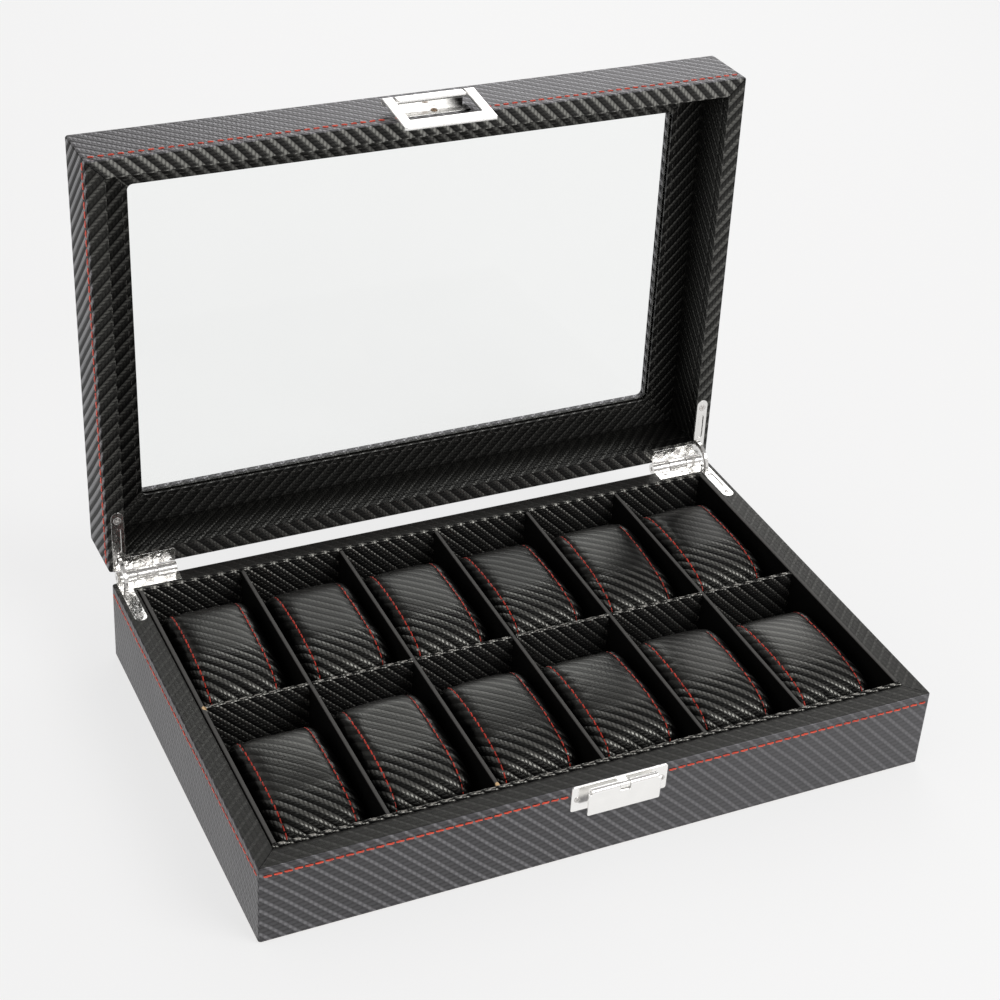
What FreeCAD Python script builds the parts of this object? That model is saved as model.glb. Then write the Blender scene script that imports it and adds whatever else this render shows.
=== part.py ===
import FreeCAD, Part
import math
import os

# Watch case for 12 watches: a shallow wooden box wrapped in leatherette, with a
# divided tray, twelve pillows, a glazed lid on two corner hinges and a bail latch.
# Millimetres. Origin: centre of the underside. +X right, +Y back, +Z up.
# The lid is drawn closed, then turned about the hinge axis to the open rest pose.

V = FreeCAD.Vector
AXIS_X, AXIS_Y, AXIS_Z = V(1, 0, 0), V(0, 1, 0), V(0, 0, 1)

# ---------------------------------------------------------------- case
LENGTH = 300.0          # along X
WIDTH = 193.0           # along Y
BASE_H = 38.5           # underside to base rim
LID_H = 29.5            # lid rim to lid top
RIM_GAP = 0.5           # between the rims when closed
OPEN_DEG = 92.0         # lid angle at rest
HINGE_OUT = 3.2         # hinge axis behind the back face
LATCH_X = 1.5           # the latch sits a little to the right of the middle

SKIN = 0.8              # leatherette on the outside and the rims
LINING = 0.4            # leatherette turned down on the inside
FELT = 1.0
FELT_INSET, FELT_CORNER_R = 4.0, 3.0
PANEL = 3.0             # bottom panel
FLOOR_T = 1.0
FLOOR_GAP = 0.2         # floor lining to the base lining
COVER_CORNER_R = 1.2    # upright corners of the cover
COVER_EDGE_R = 0.6      # its level outside edges
SEAM_HALF, SEAM_DEPTH = 0.16, 0.3

HALF_X, HALF_Y = LENGTH / 2, WIDTH / 2
FRONT_Y = -HALF_Y
BOARD_X, BOARD_Y = HALF_X - SKIN, HALF_Y - SKIN     # outside of the boards
LID_Z = BASE_H + RIM_GAP
LID_TOP = LID_Z + LID_H
HINGE_Y, HINGE_Z = HALF_Y + HINGE_OUT, BASE_H + RIM_GAP / 2

OVER = 1.0              # cutters run this far past a face
HIGH = 80.0             # above everything, for cutters open at the top
TOL = 0.01              # for picking edges

pieces = {}


# ---------------------------------------------------------------- helpers
def box(x0, x1, y0, y1, z0, z1):
    return Part.makeBox(x1 - x0, y1 - y0, z1 - z0, V(x0, y0, z0))


def centred_box(half_x, half_y, z0, z1):
    return box(-half_x, half_x, -half_y, half_y, z0, z1)


def prism(points, z0, z1):
    wire = Part.makePolygon([V(x, y, z0) for x, y in points + points[:1]])
    return Part.Face(wire).extrude(V(0, 0, z1 - z0))


def x_cylinder(radius, x0, x1, y, z):
    return Part.makeCylinder(radius, x1 - x0, V(x0, y, z), AXIS_X)


def edges_along(shape, axis):
    return [e for e in shape.Edges if abs(e.tangentAt(e.FirstParameter).dot(axis)) > 0.99]


def flat_in_y(edge):
    return edge.BoundBox.YLength < TOL


def level_at(edge, z):
    return edge.BoundBox.ZLength < TOL and edge.CenterOfMass.z > z - TOL


def rounded(half_x, half_y, z0, z1, radius):
    """A centred plate with rounded vertical corners."""
    plate = centred_box(half_x, half_y, z0, z1)
    return plate.makeFillet(radius, edges_along(plate, AXIS_Z))


def sector(r0, r1, x0, x1, a0, a1):
    """Arc of a ring about the hinge axis. Angle 0 points to the front, 90 up."""
    def point(radius, degrees):
        a = math.radians(degrees)
        return V(x0, HINGE_Y - radius * math.cos(a), HINGE_Z + radius * math.sin(a))
    middle = (a0 + a1) / 2
    wire = Part.Wire([
        Part.Arc(point(r0, a0), point(r0, middle), point(r0, a1)).toShape(),
        Part.makeLine(point(r0, a1), point(r1, a1)),
        Part.Arc(point(r1, a1), point(r1, middle), point(r1, a0)).toShape(),
        Part.makeLine(point(r1, a0), point(r0, a0)),
    ])
    return Part.Face(wire).extrude(V(x1 - x0, 0, 0))


def cut(shape, *tools):
    for tool in tools:
        shape = shape.cut(tool)
    return shape


def fuse(shape, *others):
    for other in others:
        shape = shape.fuse(other)
    return shape.removeSplitter()


def mirror(shape):
    return shape.mirror(V(0, 0, 0), AXIS_X)


def both_sides(shapes):
    return shapes + [mirror(s) for s in shapes]


def add_pair(name, right):
    pieces[f"{name}_right"] = right
    pieces[f"{name}_left"] = mirror(right)


def open_lid(shape):
    shape = shape.copy()
    shape.rotate(V(0, HINGE_Y, HINGE_Z), AXIS_X, -OPEN_DEG)
    return shape


def at_latch(shape):
    """Latch parts are drawn about x = 0 and moved to the latch position."""
    shape = shape.copy()
    shape.translate(V(LATCH_X, 0, 0))
    return shape


RECESS_TURN = 27        # degrees, the cross in each screw head


def recessed(screw, point, axis, length, width, depth):
    """Cross recess in a screw head. point: middle of its face, axis: out of the face."""
    arm = Part.makeBox(length, width, depth + 0.5, V(-length / 2, -width / 2, -depth))
    other = arm.copy()
    other.rotate(V(0, 0, 0), AXIS_Z, 90)
    tool = arm.fuse(other)
    tool.rotate(V(0, 0, 0), AXIS_Z, RECESS_TURN)
    seat = FreeCAD.Placement(V(*point), FreeCAD.Rotation(AXIS_Z, axis))
    tool.Placement = seat.multiply(tool.Placement)
    return screw.cut(tool)


# ---------------------------------------------------------------- hinges
# Drawn for the right-hand side; the left one is its mirror image.
LEG_X0, LEG_X1 = 120.0, 147.0       # L-shaped leaf: leg along the back
LEG_Y0 = 90.2
ARM_X0, ARM_X1 = 142.4, 148.0       # and arm along the side
ARM_Y0 = 66.5
ARM_X = (ARM_X0 + ARM_X1) / 2
LEAF_T = 1.2
KNUCKLE_R = 2.6
KNUCKLE_ROOT = 1.0                  # knuckle tab reaches in from the back face
BASE_KNUCKLES = [(LEG_X0, 128.6), (138.4, LEG_X1)]
LID_KNUCKLES = [(129.0, 138.0)]
PIN_R = 0.9
PIN_PLAY = 0.05
PIN_INSET = 0.3
OVAL_R, OVAL_Y0, OVAL_Y1, OVAL_DEPTH = 1.3, 76.0, 86.0, 0.4    # shallow oval in the arm

QUAD_R0, QUAD_R1 = 8.0, 10.0        # curved stop link
QUAD_X0, QUAD_X1 = 144.4, 145.9
QUAD_HALF = 54.0                    # half its arc, degrees
QUAD_PLAY = 0.3
POCKET_PAST, POCKET_RIM = 2.5, 1.0  # degrees past the link end and past the rim

HINGE_SCREWS = [(ARM_X, 70.6), (124.3, 93.4), (133.5, 93.4)]   # x, y
HEAD_R, HEAD_TIP_R, HEAD_H = 1.7, 1.0, 0.9
SHANK_R = 0.8
HINGE_SHANK = 7.0
HINGE_RECESS = (2.0, 0.4, 0.45)     # cross length, width, depth


def leaf_plate(z0):
    radius = (ARM_X1 - ARM_X0) / 2
    arm = box(ARM_X0, ARM_X1, ARM_Y0 + radius, HALF_Y, z0, z0 + LEAF_T)
    end = Part.makeCylinder(radius, LEAF_T, V(ARM_X, ARM_Y0 + radius, z0))
    leg = box(LEG_X0, LEG_X1, LEG_Y0, HALF_Y, z0, z0 + LEAF_T)
    return fuse(arm, end, leg)


def knuckle(x0, x1, z0):
    barrel = x_cylinder(KNUCKLE_R, x0, x1, HINGE_Y, HINGE_Z)
    return fuse(barrel, box(x0, x1, HALF_Y - KNUCKLE_ROOT, HINGE_Y, z0, z0 + LEAF_T))


def oval(z0, z1):
    return fuse(box(ARM_X - OVAL_R, ARM_X + OVAL_R, OVAL_Y0, OVAL_Y1, z0, z1),
                *[Part.makeCylinder(OVAL_R, z1 - z0, V(ARM_X, y, z0))
                  for y in (OVAL_Y0, OVAL_Y1)])


def countersunk(x, y, z, inward):
    """Screw with its head flush with z; inward is the direction of the shank."""
    head = Part.makeCone(HEAD_R, HEAD_TIP_R, HEAD_H, V(x, y, z), inward)
    return fuse(head, Part.makeCylinder(SHANK_R, HINGE_SHANK, V(x, y, z), inward))


def link_pocket(a0, a1):
    return sector(QUAD_R0 - QUAD_PLAY, QUAD_R1 + QUAD_PLAY,
                  QUAD_X0 - QUAD_PLAY, QUAD_X1 + QUAD_PLAY, a0, a1)


def add_hinge_half(half, leaf_z, knuckles, pocket, dimple, face_z, outward, place):
    """Adds leaves and screws; returns the cutters for the walls and the cover."""
    screws = [countersunk(x, y, face_z, -outward) for x, y in HINGE_SCREWS]
    leaf = fuse(leaf_plate(leaf_z), *[knuckle(x0, x1, leaf_z) for x0, x1 in knuckles])
    pin_hole = x_cylinder(PIN_R + PIN_PLAY, LEG_X0 - OVER, LEG_X1 + OVER, HINGE_Y, HINGE_Z)
    add_pair(f"hinge_{half}_leaf", place(cut(leaf, pin_hole, pocket, dimple, *screws)))
    heads = [recessed(screw, (x, y, face_z), outward, *HINGE_RECESS)
             for screw, (x, y) in zip(screws, HINGE_SCREWS)]
    pieces[f"hinge_{half}_screws"] = place(Part.makeCompound(both_sides(heads)))
    return both_sides([leaf_plate(leaf_z), pocket] + screws)


base_hinge_cutters = add_hinge_half(
    "base", BASE_H - LEAF_T, BASE_KNUCKLES,
    pocket=link_pocket(-QUAD_HALF - POCKET_PAST, POCKET_RIM),
    dimple=oval(BASE_H - OVAL_DEPTH, BASE_H + OVER),
    face_z=BASE_H, outward=V(0, 0, 1), place=lambda shape: shape)
lid_hinge_cutters = add_hinge_half(
    "lid", LID_Z, LID_KNUCKLES,
    pocket=link_pocket(-POCKET_RIM, QUAD_HALF + POCKET_PAST),
    dimple=oval(LID_Z - OVER, LID_Z + OVAL_DEPTH),
    face_z=LID_Z, outward=V(0, 0, -1), place=open_lid)

add_pair("hinge_pin",
         x_cylinder(PIN_R, LEG_X0 + PIN_INSET, LEG_X1 - PIN_INSET, HINGE_Y, HINGE_Z))
link = sector(QUAD_R0, QUAD_R1, QUAD_X0, QUAD_X1, -QUAD_HALF, QUAD_HALF)
link.rotate(V(0, HINGE_Y, HINGE_Z), AXIS_X, -OPEN_DEG / 2)
add_pair("quadrant", link)

# ---------------------------------------------------------------- latch plates and screws
PLATE_T = 0.8
PLATE_Y = FRONT_Y - PLATE_T         # front face of the keeper and bracket plates
PLATE_CORNER_R, PLATE_EDGE_R = 1.0, 0.25
ROLL_R = 1.75                       # rolled eyes of the lever, bracket and bail
FRONT_SHANK = 6.0
HEAD_SUNK = 0.4                     # screw head below the plate face


def front_plate(half_x, z0, z1):
    """Plate on the front face, with rounded corners and softened front edges."""
    plate = box(-half_x, half_x, PLATE_Y, FRONT_Y, z0, z1)
    plate = plate.makeFillet(PLATE_CORNER_R, edges_along(plate, AXIS_Y))
    return plate.makeFillet(PLATE_EDGE_R, [
        e for e in plate.Edges if flat_in_y(e) and e.CenterOfMass.y < PLATE_Y + TOL])


def front_screw(x, z, radius, proud):
    head = Part.makeCylinder(radius, proud + HEAD_SUNK, V(x, PLATE_Y - proud, z), AXIS_Y)
    return fuse(head, Part.makeCylinder(SHANK_R, FRONT_SHANK, V(x, PLATE_Y, z), AXIS_Y))


# ---------------------------------------------------------------- keeper on the base front
KEEPER_HALF = 21.5
KEEPER_Z0, KEEPER_Z1 = 26.0, 38.4
KEEPER_SCREWS_X, KEEPER_SCREW_Z = (-19.0, 19.0), 32.0
KEEPER_HEAD_R, KEEPER_PROUD = 1.3, 0.25
KEEPER_RECESS = (1.6, 0.35, 0.35)   # cross length, width, depth
KEEPER_KNUCKLE_R, KEEPER_KNUCKLE_HALF = 1.5, 2.1
KEEPER_TAB_Y, KEEPER_TAB_HALF = 0.9, 1.0    # tab start behind the pin, half height
LEVER_PIN_R = 0.6
LEVER_PIN_HALF = 14.6
LEVER_PIN_Y, LEVER_PIN_Z = FRONT_Y - 3.6, 36.9

keeper_screws = [front_screw(x, KEEPER_SCREW_Z, KEEPER_HEAD_R, KEEPER_PROUD)
                 for x in KEEPER_SCREWS_X]
keeper_cutters = [at_latch(screw) for screw in keeper_screws]
lever_hole = x_cylinder(LEVER_PIN_R + PIN_PLAY, -20, 20, LEVER_PIN_Y, LEVER_PIN_Z)
keeper_knuckle = fuse(
    x_cylinder(KEEPER_KNUCKLE_R, -KEEPER_KNUCKLE_HALF, KEEPER_KNUCKLE_HALF,
               LEVER_PIN_Y, LEVER_PIN_Z),
    box(-KEEPER_KNUCKLE_HALF, KEEPER_KNUCKLE_HALF, LEVER_PIN_Y + KEEPER_TAB_Y, PLATE_Y,
        LEVER_PIN_Z - KEEPER_TAB_HALF, LEVER_PIN_Z + KEEPER_TAB_HALF))
keeper = fuse(front_plate(KEEPER_HALF, KEEPER_Z0, KEEPER_Z1), keeper_knuckle)
pieces["keeper_plate"] = at_latch(cut(keeper, lever_hole, *keeper_screws))
pieces["keeper_screws"] = at_latch(Part.makeCompound([
    recessed(screw, (x, PLATE_Y - KEEPER_PROUD, KEEPER_SCREW_Z), -AXIS_Y, *KEEPER_RECESS)
    for screw, x in zip(keeper_screws, KEEPER_SCREWS_X)]))
pieces["keeper_pin"] = at_latch(
    x_cylinder(LEVER_PIN_R, -LEVER_PIN_HALF, LEVER_PIN_HALF, LEVER_PIN_Y, LEVER_PIN_Z))

# ---------------------------------------------------------------- lever on the keeper
LEVER_HALF = 16.25
LEVER_T = 0.9
LEVER_Z0 = 26.2
LEVER_CORNER_R, LEVER_EDGE_R = 0.8, 0.3
LEVER_EYE_IN, LEVER_EYE_OUT = 2.4, 14.8     # each eye, from the middle
LEVER_NOTCH_HALF = 2.35                     # clears the keeper knuckle


def latch_lever():
    face_y = LEVER_PIN_Y - ROLL_R
    face = box(-LEVER_HALF, LEVER_HALF, face_y, face_y + LEVER_T, LEVER_Z0, LEVER_PIN_Z)
    face = face.makeFillet(LEVER_CORNER_R, [
        e for e in edges_along(face, AXIS_Y) if e.CenterOfMass.z < LEVER_Z0 + 1])
    face = face.makeFillet(LEVER_EDGE_R, [
        e for e in face.Edges if flat_in_y(e) and e.CenterOfMass.y < face_y + TOL
        and not level_at(e, LEVER_PIN_Z)])
    eyes = [x_cylinder(ROLL_R, x0, x1, LEVER_PIN_Y, LEVER_PIN_Z)
            for x0, x1 in ((-LEVER_EYE_OUT, -LEVER_EYE_IN), (LEVER_EYE_IN, LEVER_EYE_OUT))]
    notch = box(-LEVER_NOTCH_HALF, LEVER_NOTCH_HALF, LEVER_PIN_Y - 3, LEVER_PIN_Y,
                LEVER_PIN_Z - 1.7, LEVER_PIN_Z + OVER)
    return cut(fuse(face, *eyes), lever_hole, notch)


pieces["latch_lever"] = at_latch(latch_lever())

# ---------------------------------------------------------------- bracket on the lid front
BRACKET_Z0, BRACKET_Z1 = LID_Z + 2.4, LID_Z + 15.3
BRACKET_HALF = 15.6
BRACKET_ROLL = 15.3                 # half length of the rolled top
BRACKET_LIP_T, BRACKET_LIP_H = 0.9, 4.6     # lip hanging from the roll
BRACKET_WEB_Y, BRACKET_WEB_HALF = 1.2, 1.2  # web from the roll to the plate
BRACKET_SCREW_Z = LID_Z + 6.0
BRACKET_HEAD_R, BRACKET_PROUD = 1.4, 0.3
BRACKET_RECESS = (1.7, 0.35, 0.35)  # cross length, width, depth
BAIL_Y, BAIL_Z = FRONT_Y - 4.2, LID_Z + 12.2    # bail pivot

bracket_screw = front_screw(0.0, BRACKET_SCREW_Z, BRACKET_HEAD_R, BRACKET_PROUD)
bracket_cutter = at_latch(bracket_screw)
bail_hole = x_cylinder(PIN_R + PIN_PLAY, -25, 25, BAIL_Y, BAIL_Z)
bracket = fuse(front_plate(BRACKET_HALF, BRACKET_Z0, BRACKET_Z1),
               x_cylinder(ROLL_R, -BRACKET_ROLL, BRACKET_ROLL, BAIL_Y, BAIL_Z),
               box(-BRACKET_ROLL, BRACKET_ROLL, BAIL_Y - ROLL_R,
                   BAIL_Y - ROLL_R + BRACKET_LIP_T, BAIL_Z - BRACKET_LIP_H, BAIL_Z),
               box(-BRACKET_ROLL, BRACKET_ROLL, BAIL_Y + BRACKET_WEB_Y, PLATE_Y,
                   BAIL_Z - BRACKET_WEB_HALF, BAIL_Z + BRACKET_WEB_HALF))
pieces["bail_bracket"] = open_lid(at_latch(cut(bracket, bail_hole, bracket_screw)))
pieces["bail_bracket_screws"] = open_lid(at_latch(recessed(
    bracket_screw, (0.0, PLATE_Y - BRACKET_PROUD, BRACKET_SCREW_Z), -AXIS_Y,
    *BRACKET_RECESS)))

# ---------------------------------------------------------------- bail
BAIL_OUT, BAIL_IN = 21.0, 16.4      # half widths, outside and inside the arms
BAIL_T = 1.5
BAIL_REACH = 25.5                   # pivot to the free edge
BAIL_BAR = 6.3                      # height of the bar at the free edge
BAIL_TILT = 7.6                     # degrees towards the face
BAIL_CORNER_R, BAIL_INNER_R, BAIL_EDGE_R = 1.2, 0.6, 0.4
BAIL_PIN_INSET = 0.1


def bail():
    """U-shaped frame; the arms lie flush with the outside of their eyes."""
    face_y = BAIL_Y - ROLL_R
    free_z = BAIL_Z - BAIL_REACH
    frame = box(-BAIL_OUT, BAIL_OUT, face_y, face_y + BAIL_T, free_z, BAIL_Z)
    frame = frame.makeFillet(BAIL_CORNER_R, [
        e for e in edges_along(frame, AXIS_Y) if e.CenterOfMass.z < BAIL_Z - 1])
    frame = frame.cut(box(-BAIL_IN, BAIL_IN, BAIL_Y - 5, BAIL_Y + 5,
                          free_z + BAIL_BAR, BAIL_Z + 5))
    frame = frame.makeFillet(BAIL_INNER_R, [
        e for e in edges_along(frame, AXIS_Y)
        if abs(abs(e.CenterOfMass.x) - BAIL_IN) < TOL and e.CenterOfMass.z < BAIL_Z - 1])
    frame = frame.makeFillet(BAIL_EDGE_R, [
        e for e in frame.Edges if e.BoundBox.ZMax <= BAIL_Z + TOL and flat_in_y(e)
        and not level_at(e, BAIL_Z)])
    eyes = [x_cylinder(ROLL_R, x0, x1, BAIL_Y, BAIL_Z)
            for x0, x1 in ((-BAIL_OUT, -BAIL_IN), (BAIL_IN, BAIL_OUT))]
    frame = fuse(frame, *eyes).cut(bail_hole)
    frame.rotate(V(0, BAIL_Y, BAIL_Z), AXIS_X, BAIL_TILT)
    return frame


pieces["bail"] = open_lid(at_latch(bail()))
pin_half = BAIL_OUT - BAIL_PIN_INSET
pieces["bail_pin"] = open_lid(at_latch(
    x_cylinder(PIN_R, -pin_half, pin_half, BAIL_Y, BAIL_Z)))


# ---------------------------------------------------------------- shared by base and lid
def walls(prefix, inner_x, inner_front, inner_back, z0, z1, front_cutters, hinge_cutters):
    """Four mitred boards, cut for the hardware, by piece name."""
    outer = [(-BOARD_X, -BOARD_Y), (BOARD_X, -BOARD_Y), (BOARD_X, BOARD_Y), (-BOARD_X, BOARD_Y)]
    inner = [(-inner_x, inner_front), (inner_x, inner_front),
             (inner_x, inner_back), (-inner_x, inner_back)]
    boards = {}
    for i, side in enumerate(("front", "right", "back", "left")):
        j = (i + 1) % 4
        board = prism([outer[i], outer[j], inner[j], inner[i]], z0, z1)
        cutters = front_cutters if side == "front" else hinge_cutters
        boards[f"{prefix}_{side}_wall"] = cut(board, *cutters)
    return boards


def cover_block(z0, z1, round_bottom):
    block = rounded(HALF_X, HALF_Y, z0, z1, COVER_CORNER_R)
    return block.makeFillet(COVER_EDGE_R, [
        e for e in block.Edges
        if e.BoundBox.ZMin > z1 - TOL or (round_bottom and e.BoundBox.ZMax < z0 + TOL)])


def seam(x0, y0, x1, y1, z, up):
    """Cutter for a shallow V-shaped mitre seam on a rim, from corner to corner."""
    lead, past = 0.8, 0.2
    depth = -SEAM_DEPTH if up else SEAM_DEPTH
    clear = 0.2 if up else -0.2
    outline = [(-SEAM_HALF, clear), (SEAM_HALF, clear), (SEAM_HALF, 0), (0, depth),
               (-SEAM_HALF, 0), (-SEAM_HALF, clear)]
    dx, dy = x1 - x0, y1 - y0
    wire = Part.makePolygon([V(0, y, height) for y, height in outline])
    tool = Part.Face(wire).extrude(V(math.hypot(dx, dy) + lead + past, 0, 0))
    tool.translate(V(-lead, 0, 0))
    tool.rotate(V(0, 0, 0), AXIS_Z, math.degrees(math.atan2(dy, dx)))
    tool.translate(V(x0, y0, z))
    return tool


def corner_seams(inner_x, inner_front, inner_back, z, up):
    return [seam(side * HALF_X, outer_y, side * inner_x, inner_y, z, up)
            for outer_y, inner_y in ((-HALF_Y, inner_front), (HALF_Y, inner_back))
            for side in (-1, 1)]


STITCH_OFFSET = 4.4                 # red line to the rim, on base and lid
STITCH_PROUD, STITCH_HALF = 0.25, 0.3
STITCH_GAP = 0.2                    # line to the keeper edge


def stitching(z):
    """Thin band round the outside, broken over the keeper's width."""
    ring = centred_box(HALF_X + STITCH_PROUD, HALF_Y + STITCH_PROUD,
                       z - STITCH_HALF, z + STITCH_HALF)
    half_gap = KEEPER_HALF + STITCH_GAP
    return cut(ring, centred_box(HALF_X, HALF_Y, 0, HIGH),
               box(LATCH_X - half_gap, LATCH_X + half_gap, FRONT_Y - 2, FRONT_Y + 2, 0, HIGH))


# ---------------------------------------------------------------- base shell
IN_X = HALF_X - 8.8                 # inside faces of the lined base
IN_FRONT, IN_BACK = FRONT_Y + 8.8, HALF_Y - 8.1
WALL_X, WALL_FRONT, WALL_BACK = IN_X + LINING, IN_FRONT - LINING, IN_BACK + LINING
WALL_Z0, WALL_Z1 = FELT + PANEL, BASE_H - SKIN

pieces["base_felt_pad"] = rounded(HALF_X - FELT_INSET, HALF_Y - FELT_INSET, 0, FELT,
                                  FELT_CORNER_R)
pieces["base_bottom_panel"] = centred_box(BOARD_X, BOARD_Y, FELT, WALL_Z0)
pieces.update(walls("base", WALL_X, WALL_FRONT, WALL_BACK, WALL_Z0, WALL_Z1,
                    keeper_cutters, base_hinge_cutters))
board_space = cut(centred_box(BOARD_X, BOARD_Y, WALL_Z0 - OVER, WALL_Z1),
                  box(-WALL_X, WALL_X, WALL_FRONT, WALL_BACK, 0, HIGH))
pieces["base_cover"] = cut(
    cover_block(FELT, BASE_H, round_bottom=False),
    centred_box(BOARD_X, BOARD_Y, FELT - OVER, WALL_Z0),
    box(-IN_X, IN_X, IN_FRONT, IN_BACK, 0, HIGH), board_space,
    *base_hinge_cutters, *keeper_cutters,
    *corner_seams(IN_X, IN_FRONT, IN_BACK, BASE_H, up=True))
pieces["base_floor_lining"] = box(-IN_X + FLOOR_GAP, IN_X - FLOOR_GAP, IN_FRONT + FLOOR_GAP,
                                  IN_BACK - FLOOR_GAP, WALL_Z0, WALL_Z0 + FLOOR_T)
pieces["base_stitching"] = stitching(BASE_H - STITCH_OFFSET)

# ---------------------------------------------------------------- tray
COLS = 6
TRAY_T = 1.8                        # tray walls and dividers
TRAY_GAP = 0.4                      # tray to base lining
TRAY_TOP = 39.4
CROSS_TOP = 38.7
LAP = 0.05                          # play in the halving joints, each side
EDGE_R = 0.6                        # wrapped top edges of the tray boards
GROOVE_W, GROOVE_D = 0.5, 0.35      # sewn channel along the two stitched edges
THREAD_HALF, THREAD_H = 0.2, 0.5
FRONT_THREAD_INSET, CELL_THREAD_INSET = 0.5, 0.3

TRAY_X = IN_X - TRAY_GAP
TRAY_FRONT, TRAY_BACK = IN_FRONT + TRAY_GAP, IN_BACK - TRAY_GAP
TRAY_Z0 = WALL_Z0 + FLOOR_T
CELL_X = TRAY_X - TRAY_T            # inside faces of the tray
CELL_FRONT, CELL_BACK = TRAY_FRONT + TRAY_T, TRAY_BACK - TRAY_T
PITCH = (2 * CELL_X + TRAY_T) / COLS
MID_Y = (CELL_FRONT + CELL_BACK) / 2
LAP_Z = (TRAY_Z0 + CROSS_TOP) / 2


def tray_board(x0, x1, y0, y1, top=TRAY_TOP):
    """Thin upright board with its long top edges rounded."""
    board = box(x0, x1, y0, y1, TRAY_Z0, top)
    return board.makeFillet(EDGE_R, [
        e for e in board.Edges if abs(e.CenterOfMass.z - top) < TOL and e.Length > 5.0
        and abs(e.tangentAt(e.FirstParameter).z) < TOL])


def groove(y, half_x):
    return box(-half_x, half_x, y - GROOVE_W / 2, y + GROOVE_W / 2,
               TRAY_TOP - GROOVE_D, TRAY_TOP + OVER)


def thread(y, x0, x1):
    z0 = TRAY_TOP - GROOVE_D
    return box(x0, x1, y - THREAD_HALF, y + THREAD_HALF, z0, z0 + THREAD_H)


front_mid_y = TRAY_FRONT + TRAY_T / 2
front_board = tray_board(-TRAY_X, TRAY_X, TRAY_FRONT, CELL_FRONT)
pieces["tray_front_wall"] = front_board.cut(groove(front_mid_y, TRAY_X))
pieces["tray_back_wall"] = tray_board(-TRAY_X, TRAY_X, CELL_BACK, TRAY_BACK)
pieces["tray_left_wall"] = tray_board(-TRAY_X, -CELL_X, CELL_FRONT, CELL_BACK)
pieces["tray_right_wall"] = tray_board(CELL_X, TRAY_X, CELL_FRONT, CELL_BACK)

divider = tray_board(-CELL_X, CELL_X, MID_Y - TRAY_T / 2, MID_Y + TRAY_T / 2)
divider = divider.cut(groove(MID_Y, CELL_X))
half_slot = TRAY_T / 2 + LAP
for n in range(1, COLS):
    x = (n - COLS / 2) * PITCH
    divider = divider.cut(box(x - half_slot, x + half_slot, MID_Y - 5, MID_Y + 5,
                              LAP_Z - LAP, HIGH))
    cross = tray_board(x - TRAY_T / 2, x + TRAY_T / 2, CELL_FRONT, CELL_BACK, CROSS_TOP)
    pieces[f"cross_divider_{n}"] = cross.cut(
        box(x - 5, x + 5, MID_Y - half_slot, MID_Y + half_slot, 0, LAP_Z + LAP))
pieces["long_divider"] = divider

cell_starts = [-CELL_X + n * PITCH for n in range(COLS)]
threads = [thread(front_mid_y, -TRAY_X + FRONT_THREAD_INSET, TRAY_X - FRONT_THREAD_INSET)]
threads += [thread(MID_Y, x + CELL_THREAD_INSET, x + PITCH - TRAY_T - CELL_THREAD_INSET)
            for x in cell_starts]
pieces["tray_stitching"] = Part.makeCompound(threads)

# ---------------------------------------------------------------- pillows
CUSHION_W = 41.0
CUSHION_L = 62.0
CUSHION_TOP = 36.6
CUSHION_FRONT_GAP = 9.0
CUSHION_LIFT = 0.05                 # above the floor lining
# Three arcs sharing end points: distance from the front, drop below the top.
CUSHION_CROWN = [
    (0, 11.6), (1.9, 7.1), (7.0, 4.2), (33.0, 0),
    (CUSHION_L - 6.0, 2.6), (CUSHION_L - 1.6, 5.2), (CUSHION_L, 9.6),
]


def cushion(x0, y0):
    """Block with a crowned top that rolls over at its front and back."""
    crown = [V(x0, y0 + y, CUSHION_TOP - drop) for y, drop in CUSHION_CROWN]
    bottom_front = V(x0, y0, TRAY_Z0 + CUSHION_LIFT)
    bottom_back = V(x0, y0 + CUSHION_L, TRAY_Z0 + CUSHION_LIFT)
    wire = Part.Wire([
        Part.makeLine(bottom_front, crown[0]),
        *[Part.Arc(*crown[i:i + 3]).toShape() for i in (0, 2, 4)],
        Part.makeLine(crown[-1], bottom_back),
        Part.makeLine(bottom_back, bottom_front),
    ])
    return Part.Face(wire).extrude(V(CUSHION_W, 0, 0))


for row, row_y in enumerate((CELL_FRONT, MID_Y + TRAY_T / 2)):
    for n, x in enumerate(cell_starts):
        pieces[f"cushion_{row * COLS + n + 1:02d}"] = cushion(
            x + (PITCH - TRAY_T - CUSHION_W) / 2, row_y + CUSHION_FRONT_GAP)

# ---------------------------------------------------------------- lid
LID_WALL = 8.05                     # outside face to inside face
LID_INNER = 22.65                   # rim plane to the inside face of the window frame
TRIM_T, TRIM_GAP, TRIM_CORNER_R = 0.8, 0.05, 0.5
WIN_X, WIN_Y = HALF_X - 22.7, HALF_Y - 21.9     # half sizes of the window
WIN_R = 2.5
GLASS_T = 1.9
GLASS_LAP, GLASS_R, GLASS_LIFT = 4.0, 2.8, 0.02
REBATE_LAP, REBATE_R, REBATE_PLAY = 4.2, 3.0, 0.1
REVEAL_GAP = 0.15                   # frame underside plus glass, to the window reveal

LID_IN_X, LID_IN_Y = HALF_X - LID_WALL, HALF_Y - LID_WALL   # inside of the lined lid
LID_WALL_X, LID_WALL_Y = LID_IN_X + LINING, LID_IN_Y + LINING
TRIM_Z = LID_Z + LID_INNER
FRAME_Z = TRIM_Z + TRIM_T           # underside of the top frame


def window(z0, z1, margin=0.0):
    return rounded(WIN_X + margin, WIN_Y + margin, z0, z1, WIN_R + margin)


def window_plate(lap, z0, z1, radius):
    return rounded(WIN_X + lap, WIN_Y + lap, z0, z1, radius)


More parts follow.
